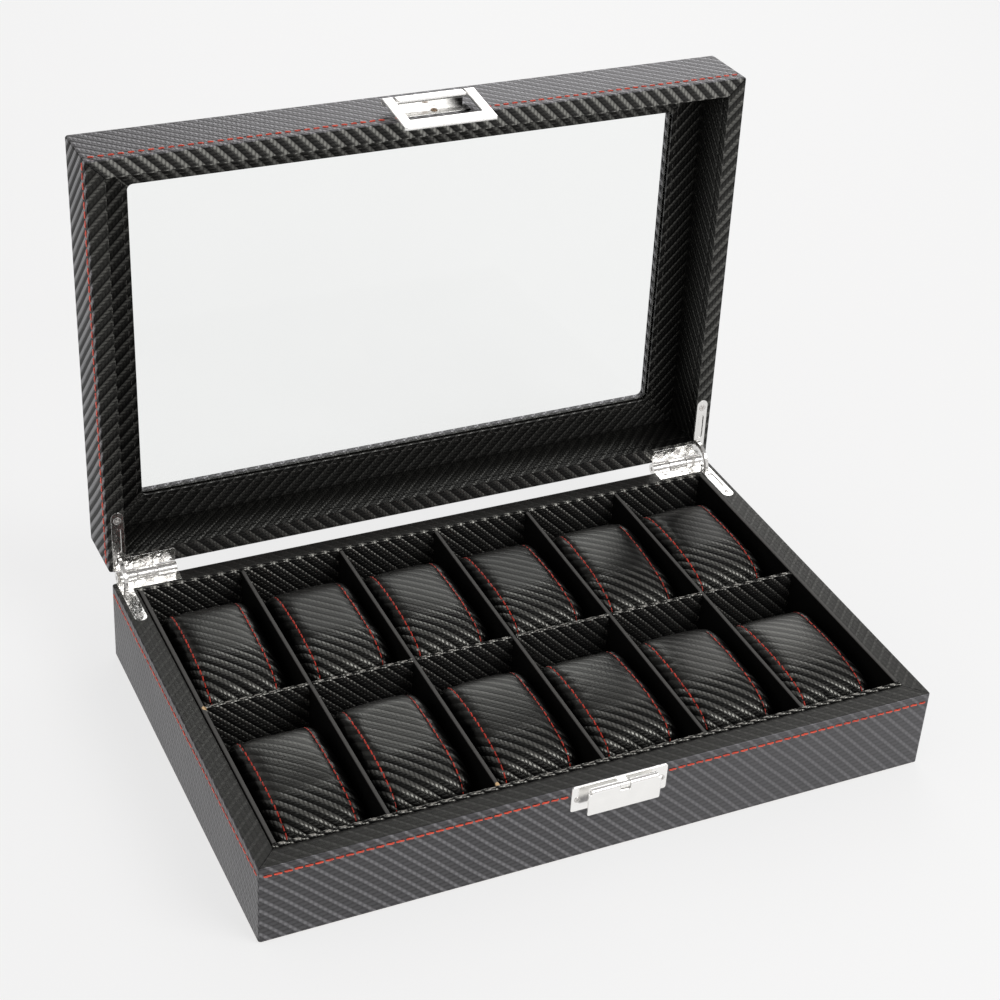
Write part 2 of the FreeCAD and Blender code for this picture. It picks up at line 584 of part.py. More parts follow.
def lid_cover():
    hollow = centred_box(BOARD_X, BOARD_Y, LID_Z + SKIN, LID_TOP - SKIN)
    lining = cut(centred_box(LID_WALL_X, LID_WALL_Y, LID_Z + SKIN, FRAME_Z),
                 centred_box(LID_IN_X, LID_IN_Y, LID_Z - OVER, FRAME_Z + OVER))
    reveal_z = FRAME_Z + GLASS_T + REVEAL_GAP
    reveal = cut(window(reveal_z, LID_TOP - SKIN, SKIN),
                 window(reveal_z - OVER, LID_TOP + OVER))
    shell = cut(cover_block(LID_Z, LID_TOP, round_bottom=True), hollow,
                centred_box(LID_IN_X, LID_IN_Y, LID_Z - OVER, LID_Z + SKIN + 0.01),
                window(LID_TOP - 5, LID_TOP + OVER))
    return cut(fuse(shell, lining, reveal), *lid_hinge_cutters, bracket_cutter,
               *corner_seams(LID_IN_X, -LID_IN_Y, LID_IN_Y, LID_Z, up=False))


frame = centred_box(BOARD_X, BOARD_Y, FRAME_Z, LID_TOP - SKIN)
rebate = window_plate(REBATE_LAP, FRAME_Z - OVER, FRAME_Z + GLASS_T + REBATE_PLAY, REBATE_R)
glass_z = FRAME_Z + GLASS_LIFT
trim = rounded(LID_IN_X - TRIM_GAP, LID_IN_Y - TRIM_GAP, TRIM_Z, FRAME_Z, TRIM_CORNER_R)
closed_lid = walls("lid", LID_WALL_X, -LID_WALL_Y, LID_WALL_Y, LID_Z + SKIN, FRAME_Z,
                   [bracket_cutter], lid_hinge_cutters)
closed_lid.update({
    "lid_top_frame": cut(frame, window(FRAME_Z - OVER, LID_TOP + OVER, SKIN), rebate),
    "lid_glass": window_plate(GLASS_LAP, glass_z, glass_z + GLASS_T, GLASS_R),
    "lid_window_trim": trim.cut(window(TRIM_Z - OVER, FRAME_Z + OVER)),
    "lid_cover": lid_cover(),
    "lid_stitching": stitching(LID_Z + STITCH_OFFSET),
})
pieces.update({name: open_lid(shape) for name, shape in closed_lid.items()})

# ---------------------------------------------------------------- one file per piece
os.makedirs("parts", exist_ok=True)
for name, shape in pieces.items():
    solids = shape.Solids
    if not shape.isValid() or not solids:
        raise RuntimeError(f"{name}: bad shape")
    piece = solids[0] if len(solids) == 1 else Part.makeCompound(solids)
    piece.exportStep(f"parts/{name}.step")
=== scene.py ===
"""A black leatherette case with a glazed lid, open, holding two rows of six sewn pillows.

The case stands on z = 0 with its length along x, its front and latch at -y and its hinges at +y.
Sizes are millimetres unless noted; MM turns them into metres. Parts of the lid are described
closed and then turned open about the hinge axis.
"""
import math
from collections import namedtuple

import bpy
import numpy as np
from mathutils import Matrix, Vector

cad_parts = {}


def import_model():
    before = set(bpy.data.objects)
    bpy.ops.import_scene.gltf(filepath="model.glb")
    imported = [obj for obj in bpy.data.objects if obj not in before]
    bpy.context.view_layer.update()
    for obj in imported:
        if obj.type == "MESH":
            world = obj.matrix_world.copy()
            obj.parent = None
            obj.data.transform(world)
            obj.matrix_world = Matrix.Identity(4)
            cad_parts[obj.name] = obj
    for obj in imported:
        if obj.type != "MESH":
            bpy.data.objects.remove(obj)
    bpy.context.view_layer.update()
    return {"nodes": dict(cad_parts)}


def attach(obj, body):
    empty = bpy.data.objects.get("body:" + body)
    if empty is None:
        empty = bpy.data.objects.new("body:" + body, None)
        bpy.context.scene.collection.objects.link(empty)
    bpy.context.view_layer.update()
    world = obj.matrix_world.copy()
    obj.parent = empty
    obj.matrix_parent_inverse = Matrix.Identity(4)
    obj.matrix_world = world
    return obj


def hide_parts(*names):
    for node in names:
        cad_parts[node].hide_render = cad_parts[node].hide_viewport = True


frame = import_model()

NODES = frame["nodes"]
MM = 0.001

# case
CASE_X, CASE_Y = 150.0, 96.5            # half length and half depth
BASE_TOP, LID_BOTTOM = 38.5, 39.0
HINGE_Y = 99.7
HINGE_Z = (BASE_TOP + LID_BOTTOM) / 2
OPEN = math.radians(92.0)
LATCH_X = 1.5                           # middle of the latch
LATCH_GAP = 22.3                        # half width of the gap it leaves in the front seams

# sewn lines round the case
SEAM_INSET = 4.4                        # from the edge of the base or lid to its seam
BASE_SEAM_Z = BASE_TOP - SEAM_INSET
LID_SEAM_Z = LID_BOTTOM + SEAM_INSET
STITCH_PITCH = 4.1

# tray
PITCH = 46.633                          # from one compartment to the next
TRAY_TOP, TRAY_WALL = 39.4, 1.8
# x, y of the spots where the board shows at the ends of two dividers
BARE_SPOTS = ((-139.4, -0.2), (-46.6, -84.4))

# embossed weave
TOW = 1.525                             # width of one embossed tow
TWILL_REPEAT, CROWN_REPEAT = 4.0, 3.0   # tows in a repeat


def opened(closed):
    """Closed lid coordinates (last axis x, y, z) to the open rest pose."""
    closed = np.asarray(closed, float)
    y, z = closed[..., 1] - HINGE_Y, closed[..., 2] - HINGE_Z
    c, s = math.cos(-OPEN), math.sin(-OPEN)
    return np.stack([closed[..., 0], HINGE_Y + y * c - z * s, HINGE_Z + y * s + z * c], -1)


# ------------------------------------------------------------------ shader formulas
class Signal:
    """A shader value that can be used in a formula. Comparisons give 1 or 0."""

    def __init__(self, tree, socket):
        self.tree, self.socket = tree, socket

    def op(self, operation, *others):
        inputs = dict(enumerate((self,) + others))
        made = node(self.tree, "ShaderNodeMath", inputs, operation=operation)
        return Signal(self.tree, made.outputs[0])

    def __add__(self, other):
        return self.op("ADD", other)

    __radd__ = __add__

    def __sub__(self, other):
        return self.op("SUBTRACT", other)

    def __rsub__(self, other):
        return (self * -1.0).op("ADD", other)

    def __mul__(self, other):
        return self.op("MULTIPLY", other)

    __rmul__ = __mul__

    def __truediv__(self, other):
        return self.op("DIVIDE", other)

    def __mod__(self, other):
        return self.op("FLOORED_MODULO", other)

    def __pow__(self, other):
        return self.op("POWER", other)

    def __abs__(self):
        return self.op("ABSOLUTE")

    def __lt__(self, other):
        return self.op("LESS_THAN", other)

    def __gt__(self, other):
        return self.op("GREATER_THAN", other)

    def floor(self):
        return self.op("FLOOR")

    def cos(self):
        return self.op("COSINE")

    def sqrt(self):
        return self.op("SQRT")

    def min(self, other):
        return self.op("MINIMUM", other)

    def max(self, other):
        return self.op("MAXIMUM", other)

    def square(self):
        return self * self

    def rise(self, low, high, start=0.0, end=1.0):
        """Smooth step from start at low to end at high."""
        inputs = dict(enumerate((self, low, high, start, end)))
        made = node(self.tree, "ShaderNodeMapRange", inputs, interpolation_type="SMOOTHSTEP")
        return Signal(self.tree, made.outputs[0])

    def fall(self, low, high):
        return self.rise(low, high, start=1.0, end=0.0)

    def pick(self, if_one, if_zero):
        made = node(self.tree, "ShaderNodeMix", {0: self, 2: if_zero, 3: if_one},
                    data_type="FLOAT")
        return Signal(self.tree, made.outputs[0])


def put(tree, socket, value):
    """Link a signal or socket into a socket, or set a plain value on it."""
    if isinstance(value, Signal):
        tree.links.new(value.socket, socket)
    elif isinstance(value, bpy.types.NodeSocket):
        tree.links.new(value, socket)
    else:
        socket.default_value = value


def fill(tree, target, inputs):
    for key, value in inputs.items():
        put(tree, target.inputs[key], value)


def node(tree, kind, inputs=None, **props):
    made = tree.nodes.new(kind)
    for key, value in props.items():
        setattr(made, key, value)
    fill(tree, made, inputs or {})
    return made


def split(tree, vector):
    parts = node(tree, "ShaderNodeSeparateXYZ", {0: vector})
    return [Signal(tree, output) for output in parts.outputs]


def join(tree, x, y, z):
    return node(tree, "ShaderNodeCombineXYZ", {0: x, 1: y, 2: z}).outputs[0]


def vector_math(tree, operation, inputs):
    return node(tree, "ShaderNodeVectorMath", inputs, operation=operation).outputs[0]


def in_mm(tree, vector):
    return vector_math(tree, "SCALE", {0: vector, 3: 1000.0})


def object_mm(tree):
    return in_mm(tree, node(tree, "ShaderNodeTexCoord").outputs["Object"])


def turned(tree, vector, angle, centre=(0, 0, 0)):
    """A vector turned about the x axis."""
    return node(tree, "ShaderNodeVectorRotate",
                {"Vector": vector, "Center": centre, "Angle": angle},
                rotation_type="X_AXIS").outputs[0]


def noise(tree, vector, scale, detail=2.0, rough=0.5, distort=0.0):
    made = node(tree, "ShaderNodeTexNoise", {"Vector": vector, "Scale": scale, "Detail": detail,
                                             "Roughness": rough, "Distortion": distort})
    return Signal(tree, made.outputs[0])


def attribute(tree, name):
    made = node(tree, "ShaderNodeAttribute", attribute_name=name)
    return Signal(tree, made.outputs["Fac"])


def blend(tree, factor, at_zero, at_one):
    """Colour between at_zero and at_one."""
    return node(tree, "ShaderNodeMix", {0: factor, 6: at_zero, 7: at_one},
                data_type="RGBA").outputs[2]


def bump(tree, height, strength, distance, **more):
    """Bumped normal; distance is in millimetres."""
    return node(tree, "ShaderNodeBump", {"Strength": strength, "Distance": distance * MM,
                                         "Height": height, **more}).outputs[0]


def rgb(*channels):
    """sRGB 0-255 to linear."""
    return tuple((c / 255 / 12.92) if c / 255 <= 0.04045 else ((c / 255 + 0.055) / 1.055) ** 2.4
                 for c in channels) + (1.0,)


def empty_material(name):
    """A material whose tree holds only its output."""
    made = bpy.data.materials.new(name)
    made.use_nodes = True
    tree = made.node_tree
    tree.nodes.clear()
    return made, tree, node(tree, "ShaderNodeOutputMaterial")


def material(name):
    made, tree, output = empty_material(name)
    bsdf = node(tree, "ShaderNodeBsdfPrincipled")
    tree.links.new(bsdf.outputs[0], output.inputs[0])
    return made, tree, bsdf


# ------------------------------------------------------------------ weave embossing
# u and v run along the two thread directions. A cell is a square one tow wide, and diagonal
# is the place across the ribs, in cells.
def open_weave(name, cell_size):
    group = bpy.data.node_groups.new(name, "ShaderNodeTree")
    for in_out, names in (("INPUT", ("U", "V")),
                          ("OUTPUT", ("Height", "Warp", "Across", "Along"))):
        for socket in names:
            group.interface.new_socket(socket, in_out=in_out, socket_type="NodeSocketFloat")
    source, sink = node(group, "NodeGroupInput"), node(group, "NodeGroupOutput")
    u = Signal(group, source.outputs[0]) / cell_size
    v = Signal(group, source.outputs[1]) / cell_size
    i, j = u.floor(), v.floor()
    return group, sink, u, v, u - i, v - j, i + j


def close_weave(group, sink, across, along, warp, rib, rib_edge, power, dip):
    """Relief from the place across and along each tow (0 to 1) and across each rib.

    The outputs carry height, rib, crown and warp, in this order. power is how square a tow is
    across, dip how far its ends go down."""
    crown = (1.0 - abs(across * 2.0 - 1.0) ** power) * (1.0 - abs(along * 2.0 - 1.0) ** 2.6 * dip)
    ridge = 1.0 - rib_edge ** 2.2
    filaments = (across * (2 * math.pi * 4.0)).cos() * 0.03      # four fine lines on each tow
    height = (ridge * 0.5 + crown * 0.5 + filaments * crown) * (rib * 0.2 + 0.8)
    fill(group, sink, {0: height, 1: rib.min(1.0), 2: crown, 3: warp})
    return group


def twill_group():
    """2/2 twill: tows float over two cells, in ribs two cells wide."""
    group, sink, u, v, in_u, in_v, step = open_weave("twill", TOW)
    place = step % TWILL_REPEAT
    warp = place < 1.5
    across = warp.pick(in_u, in_v)
    along = (place % 2.0 + warp.pick(in_v, in_u)) * 0.5
    diagonal = (u + v - 0.5) % TWILL_REPEAT
    rib = diagonal.rise(-0.15, 0.35) * diagonal.fall(1.65, 2.15) + diagonal.rise(3.7, 4.15)
    rib_edge = abs(diagonal % 2.0 - 1.0)
    return close_weave(group, sink, across, along, warp, rib, rib_edge, power=2.6, dip=0.7)


def crown_group():
    """The same ribs seen flat on: each shows as a row of single crowns, three to a repeat."""
    group, sink, u, v, in_u, in_v, step = open_weave("crowns", TOW * TWILL_REPEAT / CROWN_REPEAT)
    place = step % CROWN_REPEAT
    warp = place < 0.5
    across = warp.pick(in_u, in_v)
    along = warp.pick(in_v, (place - 1.0 + in_u) * 0.5)
    diagonal = (u + v - 0.5) % CROWN_REPEAT
    rib = diagonal.rise(-0.28, 0.32) * diagonal.fall(0.68, 1.28) + diagonal.rise(2.72, 3.32)
    rib_edge = (diagonal < 1.0).pick(abs(diagonal - 0.5) * 2.0, abs(diagonal - 2.0))
    return close_weave(group, sink, across, along, warp, rib, rib_edge, power=2.4,
                       dip=warp.pick(0.85, 0.7))


TWILL = twill_group()
CROWNS = crown_group()

# ------------------------------------------------------------------ leatherette
# A setting given face by face; its rim may again differ between the ends and the long sides.
Faces = namedtuple("Faces", "rim inside ends long_sides")
Rim = namedtuple("Rim", "ends long_sides")

BASE_INNER, LID_INNER = 7.9, 7.7        # depth from the outside at which the inner face begins
BASE_RIM_Z = BASE_TOP - 0.05
LID_CEILING = 66.0                      # height that parts the lid's walls from its top


def case_weave(tree, where, x, y, z):
    """u, v, the direction of u, and masks of the ends, the inside and the rim."""
    ends = (CASE_X - abs(x)) < (CASE_Y - abs(y))
    sign_x = (x > 0.0) * 2.0 - 1.0
    sign_y = (y > 0.0) * 2.0 - 1.0
    u = ends.pick(y * sign_x, x * sign_y * -1.0)
    inward = ends.pick(CASE_X - abs(x), CASE_Y - abs(y))
    if where == "base":
        inside = inward > BASE_INNER
        rim = z > BASE_RIM_Z
        v = inward + inside.pick(2 * BASE_TOP - z, z)
    elif where == "lid":
        inside = (inward > LID_INNER) * (z < LID_CEILING)
        rim = z < LID_BOTTOM + 0.05
        # the inside of the walls is lined with strips, so only the outside turns with the edge
        v = inside.pick(z, z) + inside.pick(0.0, inward * ((z > LID_CEILING) * 2.0 - 1.0))
    else:
        # the window trim has neither: both masks are 0 everywhere
        inside, rim = z < -1.0, z < -1.0
        v = ends.max(y < 0.0).pick(z - inward, inward + z)
    direction = join(tree, ends.pick(0.0, sign_y * -1.0), ends.pick(sign_x, 0.0), 0.0)
    return u, v, direction, ends, inside, rim


def flat_weave(tree, normal, x, y, z):
    """u, v and the direction of u on upright and level boards."""
    normal_x, _, normal_z = split(tree, normal)
    faces_x = abs(normal_x) > 0.7
    u = faces_x.pick(y * -1.0, x)
    v = (abs(normal_z) > 0.7).pick(y, z)
    return u, v, join(tree, faces_x.pick(0.0, 1.0), faces_x.pick(-1.0, 0.0), 0.0)


def leatherette(name, where, tone, cross, soft, ior=1.72, depth=0.22, rough=0.34, spec=0.85,
                aniso=0.4, crease=None, bare=()):
    """Black leatherette embossed with a weave. where: base, lid, trim, flat or uv.

    tone is the brightness, cross how much the threads between the ribs shine and soft how much
    painted shade darkens the valleys; these and ior may be Faces, and a tone given face by face
    paints light and shade onto the faces. depth is the height of the relief, crease the height of
    a sewn line and bare the spots rubbed through to the board."""
    skin, tree, bsdf = material(name)
    coords = node(tree, "ShaderNodeTexCoord")
    on_lid = where in ("lid", "trim")
    position = coords.outputs["Object"]
    if on_lid:
        position = turned(tree, position, OPEN, centre=(0, HINGE_Y * MM, HINGE_Z * MM))
    mm = in_mm(tree, position)
    x, y, z = split(tree, mm)

    ends = inside = rim = direction = None
    if where == "uv":
        unfolded = node(tree, "ShaderNodeUVMap", uv_map="weave").outputs[0]
        u, v, _ = split(tree, in_mm(tree, unfolded))
        tangent_u = node(tree, "ShaderNodeTangent", direction_type="UV_MAP",
                         uv_map="weave").outputs[0]
    elif where == "flat":
        u, v, direction = flat_weave(tree, coords.outputs["Normal"], x, y, z)
    else:
        u, v, direction, ends, inside, rim = case_weave(tree, where, x, y, z)
    if direction is not None:
        if on_lid:
            direction = turned(tree, direction, -OPEN)
        tangent_u = node(tree, "ShaderNodeVectorTransform", {0: direction}, vector_type="VECTOR",
                         convert_from="OBJECT", convert_to="WORLD").outputs[0]

    def per_face(value):
        if not isinstance(value, Faces):
            return value
        on_rim = value.rim
        if isinstance(on_rim, Rim):
            on_rim = ends.pick(on_rim.ends, on_rim.long_sides)
        off_rim = inside.pick(value.inside, ends.pick(value.ends, value.long_sides))
        return rim.pick(on_rim, off_rim)

    # a tone given face by face is painted light and shade
    tone, cross, soft, ior = (per_face(value) for value in (tone, cross, soft, ior))
    weave = 1.0         # how proud the weave stands
    if where == "base":
        # towards the right end of the long sides the ribs are pressed less sharply
        fade = x.rise(-60.0, 95.0) * (1.0 - (inside + rim).min(1.0)) * (1.0 - ends)
        cross = cross + (1.0 - cross) * fade * 0.4
        soft = soft * (1.0 - fade * 0.45)
    if where == "uv":
        # the filling stretches the skin flat on top and leaves the weave proud on the front roll;
        # the front roll also gets a painted highlight and the top painted shade
        roll = attribute(tree, "roll")
        margin = attribute(tree, "margin")
        # how much the top is darkened: partly lost sheen, partly painted shade
        wear_and_shade = attribute(tree, "wear_and_shade")
        cross = roll * (cross - 0.5) + 0.5
        soft = roll * (soft - 0.18) + 0.18
        # painted shade on the sloping sides, which face the dark dividers
        tone = (1.0 - margin * 0.62) * tone
        weave = roll * 0.78 + 0.22

    # the hide is never perfectly straight: both directions drift by up to 0.8 mm
    u = u + (noise(tree, mm, scale=0.02, detail=1.0) - 0.5) * 1.6
    elsewhere = vector_math(tree, "ADD", {0: mm, 1: (71.0, 13.0, 5.0)})
    v = v + (noise(tree, elsewhere, scale=0.02, detail=1.0) - 0.5) * 1.6
    embossing = node(tree, "ShaderNodeGroup", {0: u, 1: v},
                     node_tree=CROWNS if where == "base" else TWILL)
    height, rib, cell, warp = [Signal(tree, output) for output in embossing.outputs]
    grain = noise(tree, mm, scale=3.2, detail=3.0, rough=0.6)
    blotch = noise(tree, mm, scale=0.045, detail=3.0, rough=0.55)
    fine = noise(tree, mm, scale=0.6)

    relief = height * weave + grain * 0.10
    if where == "base":
        # the rim is pressed flat where it is turned over the board
        relief = (z > BASE_RIM_Z).pick(height * 0.26 + grain * 0.55, relief * (1.0 - fade * 0.35))
    if crease is not None:
        # the skin dips along the sewn line and gathers between the holes
        gather = (u * (2 * math.pi / STITCH_PITCH)).cos() * 0.25 + 0.75
        relief = relief - abs(z - crease).fall(0.15, 1.2) * gather * 1.3

    # the tows shine on their crowns, one thread direction more than the other; shine also sets the
    # base colour, a painted highlight on crowns and ribs and painted shade in the valleys
    crown = cell * 0.6 + height * 0.4
    rib_shine = 1.2 if where == "base" else 1.0
    shine = (1.0 - (1.0 - crown) * soft) * (rib * (rib_shine - cross) + cross)
    if where == "base":
        shine = shine * (1.0 - fade * 0.2)
    if where == "uv":
        # painted highlight on the front roll; on the top painted shade, partly also lost sheen
        shine = shine * (roll * 0.56 + 0.51) * (1.0 - wear_and_shade * (1.0 - roll))
        # painted shade on the sloping sides
        shine = shine * (1.0 - margin * 0.72)
    elif isinstance(tone, Signal):
        shine = shine * tone.min(1.0)
    if where == "base":
        shine = (z > BASE_RIM_Z).pick(shine * 0.26 + 0.165, shine)

    # painted light: the base colour follows shine and tone, lighter on crowns and ribs, darker in
    # the valleys
    level = (0.0045 + shine * 0.0085) * tone * (0.75 + blotch * 0.5)
    colour = join(tree, level * 1.02, level, level * 1.01)
    for bare_x, bare_y in bare:
        away = ((x - bare_x).square() + (y - bare_y).square()).sqrt() + (grain - 0.5) * 0.8
        spot = (away < 0.85) * (z > TRAY_TOP - 1.2)
        colour = blend(tree, spot, colour, rgb(214, 178, 130))
        shine = shine * (1.0 - spot)
    roughness = (rough + (1.0 - crown) * 0.12 * weave + (blotch - 0.5) * 0.14
                 + (fine - 0.5) * 0.06)

    tint = (1.0, 0.99, 0.91, 1.0)
    if where in ("base", "lid"):
        # warm highlights on the rim and inside, cooler ones outside
        cool = 1.0 - (inside + rim).min(1.0)
        red = Signal(tree, node(tree, "ShaderNodeValue").outputs[0]) * 0.0 + 1.0
        tint = join(tree, red, 0.99 - cool * 0.01, 0.91 + cool * 0.12)

    # highlights stretch along whichever threads lie on top
    normal = node(tree, "ShaderNodeNewGeometry").outputs["Normal"]
    tangent_v = vector_math(tree, "CROSS_PRODUCT", {0: normal, 1: tangent_u})
    tangent = node(tree, "ShaderNodeMix", {0: warp, 4: tangent_v, 5: tangent_u},
                   data_type="VECTOR").outputs[1]
    fill(tree, bsdf, {
        "Base Color": colour,
        "Roughness": roughness.max(0.12).min(0.9),
        "IOR": ior,
        "Specular Tint": tint,
        "Specular IOR Level": (shine * spec * (0.9 + blotch * 0.2)).min(1.0),
        "Normal": bump(tree, relief, strength=1.0, distance=depth),
        "Anisotropic": aniso,
        "Tangent": tangent,
    })
    return skin


# ------------------------------------------------------------------ other materials
def velvet(name, level, sheen=0.0):
    """Black velvet of brightness level; its upward edges are paler than the faces, partly rubbed
    and partly painted light from above.
    """
    cloth, tree, bsdf = material(name)
    coords = node(tree, "ShaderNodeTexCoord")
    mm = in_mm(tree, coords.outputs["Object"])
    nap = noise(tree, mm, scale=0.12, detail=3.0, rough=0.6)
    fibre = noise(tree, mm, scale=4.0, detail=4.0, rough=0.7)
    squeezed = vector_math(tree, "MULTIPLY", {0: mm, 1: (0.5, 0.5, 6.0)})
    streak = noise(tree, squeezed, scale=0.6, detail=3.0)
    edge = split(tree, coords.outputs["Normal"])[2].rise(0.25, 0.95)
    # painted light from above, with some wear, on the upward edges
    bright = level * (0.7 + nap * 0.5 + fibre * 0.35) + edge * (0.04 + fibre * 0.045)
    x, y, z = split(tree, mm)
    colour = join(tree, bright * 1.04, bright, bright * 0.94)
    for bare_x, bare_y in BARE_SPOTS:
        away = ((x - bare_x).square() + (y - bare_y).square() * 0.6).sqrt() + (fibre - 0.5) * 0.7
        spot = (away < 0.95) * (z > TRAY_TOP - 1.6)
        colour = blend(tree, spot, colour, rgb(222, 186, 138))
    fill(tree, bsdf, {
        "Base Color": colour,
        "Roughness": (0.72 + (nap - 0.5) * 0.2).min(0.95),
        "Specular IOR Level": 0.05 + edge * 0.35,
        "Sheen Weight": sheen + edge * 0.10,
        "Sheen Roughness": 0.5,
        "Sheen Tint": (0.9, 0.88, 0.84, 1),
        "Normal": bump(tree, fibre * 0.8 + streak * 0.5, strength=0.8, distance=0.12),
    })
    return cloth


def thread(name, light, dark):
    """Two-ply thread, with painted shade between the plies."""
    made, tree, bsdf = material(name)
    tone = attribute(tree, "tone")
    twist = attribute(tree, "twist")
    fuzz = noise(tree, object_mm(tree), scale=9.0)
    ply = (twist * (2 * math.pi)).cos() * 0.5 + 0.5
    # painted shade in the groove between the plies
    lightness = (ply * 0.55 + fuzz * 0.35 + tone * 0.35).min(1.0)
    fill(tree, bsdf, {
        "Base Color": blend(tree, lightness, dark, light),
        "Roughness": 0.5 + (fuzz - 0.5) * 0.3,
        "Sheen Weight": 0.25,
        "Sheen Roughness": 0.4,
        "Normal": bump(tree, ply + fuzz * 0.6, strength=0.6, distance=0.05),
    })
    return made


def metal(name, base, rough, scratch=0.12, glow=0.0, shade_top=None, wave=0.0):
    """Plated or browned metal. scratch: strength of the relief; wave: unevenness of thin sheet;
    glow: an emission that paints light onto the plate.

    The height argument (rest pose) is where painted shade begins: below it the plate is darkened
    as in the shadow of the bail, and does not glow."""
    made, tree, bsdf = material(name)
    mm = object_mm(tree)
    drawn = vector_math(tree, "MULTIPLY", {0: mm, 1: (0.35, 4.0, 4.0)})
    brushed = noise(tree, drawn, scale=1.3, detail=3.0, rough=0.6)
    smear = noise(tree, mm, scale=0.16, detail=3.0, rough=0.55)
    pit = noise(tree, mm, scale=2.6).rise(0.66, 0.78)
    shade = 0.93 + smear * 0.1 - pit * 0.12
    unshaded = 1.0
    if shade_top is not None:
        x, _, z = split(tree, mm)
        # painted shade below the height: the shadow under the bail and dark reflections on the
        # plate
        plate_shade = z.fall(shade_top - 0.3, shade_top + 0.3)
        # painted shade, darker towards the right end of the plate
        right = (x - LATCH_X).rise(6.0, 14.5, end=0.62)
        shade = shade * (1.0 - plate_shade * (0.36 + right * 0.98 + (smear - 0.5) * 0.4))
        unshaded = 1.0 - plate_shade
    roughness = rough + (smear - 0.5) * 0.12 + (brushed - 0.5) * 0.10 + pit * 0.15
    # painted light: the plate glows to stand in for bright reflections of the white studio
    if glow:
        emission = (1.0 - pit * 0.5) * (0.85 + (brushed - 0.5) * 0.5) * glow * unshaded
        fill(tree, bsdf, {"Emission Color": (1.0, 0.99, 0.97, 1), "Emission Strength": emission})
    rounded = node(tree, "ShaderNodeBevel", {"Radius": 0.28 * MM}, samples=4).outputs[0]
    height = brushed + smear * 4.0
    if wave:
        height = height + noise(tree, mm, scale=0.42, detail=1.0) * wave
    fill(tree, bsdf, {
        "Base Color": join(tree, shade * base[0], shade * base[1], shade * base[2]),
        "Metallic": 1.0,
        "Roughness": roughness.max(0.04),
        "Normal": bump(tree, height, strength=scratch, distance=0.03, Normal=rounded),
    })
    return made


def felt(name):
    made, tree, bsdf = material(name)
    mm = object_mm(tree)
    fibre = noise(tree, mm, scale=1.9, detail=5.0, rough=0.7, distort=1.2)
    cloud = noise(tree, mm, scale=0.05, detail=3.0)
    level = 0.018 + fibre * 0.03 + cloud * 0.01
    fill(tree, bsdf, {
        "Base Color": join(tree, level, level, level * 1.03),
        "Roughness": 0.92 - fibre * 0.1,
        "Sheen Weight": 0.5,
        "Sheen Roughness": 0.6,
        "Normal": bump(tree, fibre, strength=0.9, distance=0.25),
    })
    return made


def board(name, dark, light):
    """Fibreboard, its chips pressed flat in z."""
    made, tree, bsdf = material(name)
    mm = object_mm(tree)
    pressed = vector_math(tree, "MULTIPLY", {0: mm, 1: (1.0, 1.0, 2.4)})
    chip = noise(tree, pressed, scale=0.9, detail=5.0, rough=0.7)
    dust = noise(tree, mm, scale=5.0)
    mottle = chip * 0.7 + dust * 0.3
    fill(tree, bsdf, {
        "Base Color": blend(tree, mottle, dark, light),
        "Roughness": 0.8 + (dust - 0.5) * 0.2,
        "Normal": bump(tree, mottle, strength=0.7, distance=0.15),
    })
    return made


def glass(name, ior):
    """Clear pane that lets rays straight through and reflects a little."""
    made, tree, output = empty_material(name)
    smear = noise(tree, object_mm(tree), scale=0.02, detail=4.0, rough=0.6, distort=0.6)
    tone = 0.984 + smear * 0.008
    tint = join(tree, tone * 0.995, tone, tone * 0.997)
    clear = node(tree, "ShaderNodeBsdfTransparent", {0: tint})
    gloss = node(tree, "ShaderNodeBsdfGlossy",
                 {"Roughness": 0.015 + smear.rise(0.55, 0.8) * 0.06})
    # rays go straight on inside the pane, so its far side must not reflect more than its near side
    back = Signal(tree, node(tree, "ShaderNodeNewGeometry").outputs["Backfacing"])
    fresnel = node(tree, "ShaderNodeFresnel", {"IOR": back.pick(1.0 / ior, ior)})
    mix = node(tree, "ShaderNodeMixShader",
               {0: fresnel.outputs[0], 1: clear.outputs[0], 2: gloss.outputs[0]})
    tree.links.new(mix.outputs[0], output.inputs[0])
    return made


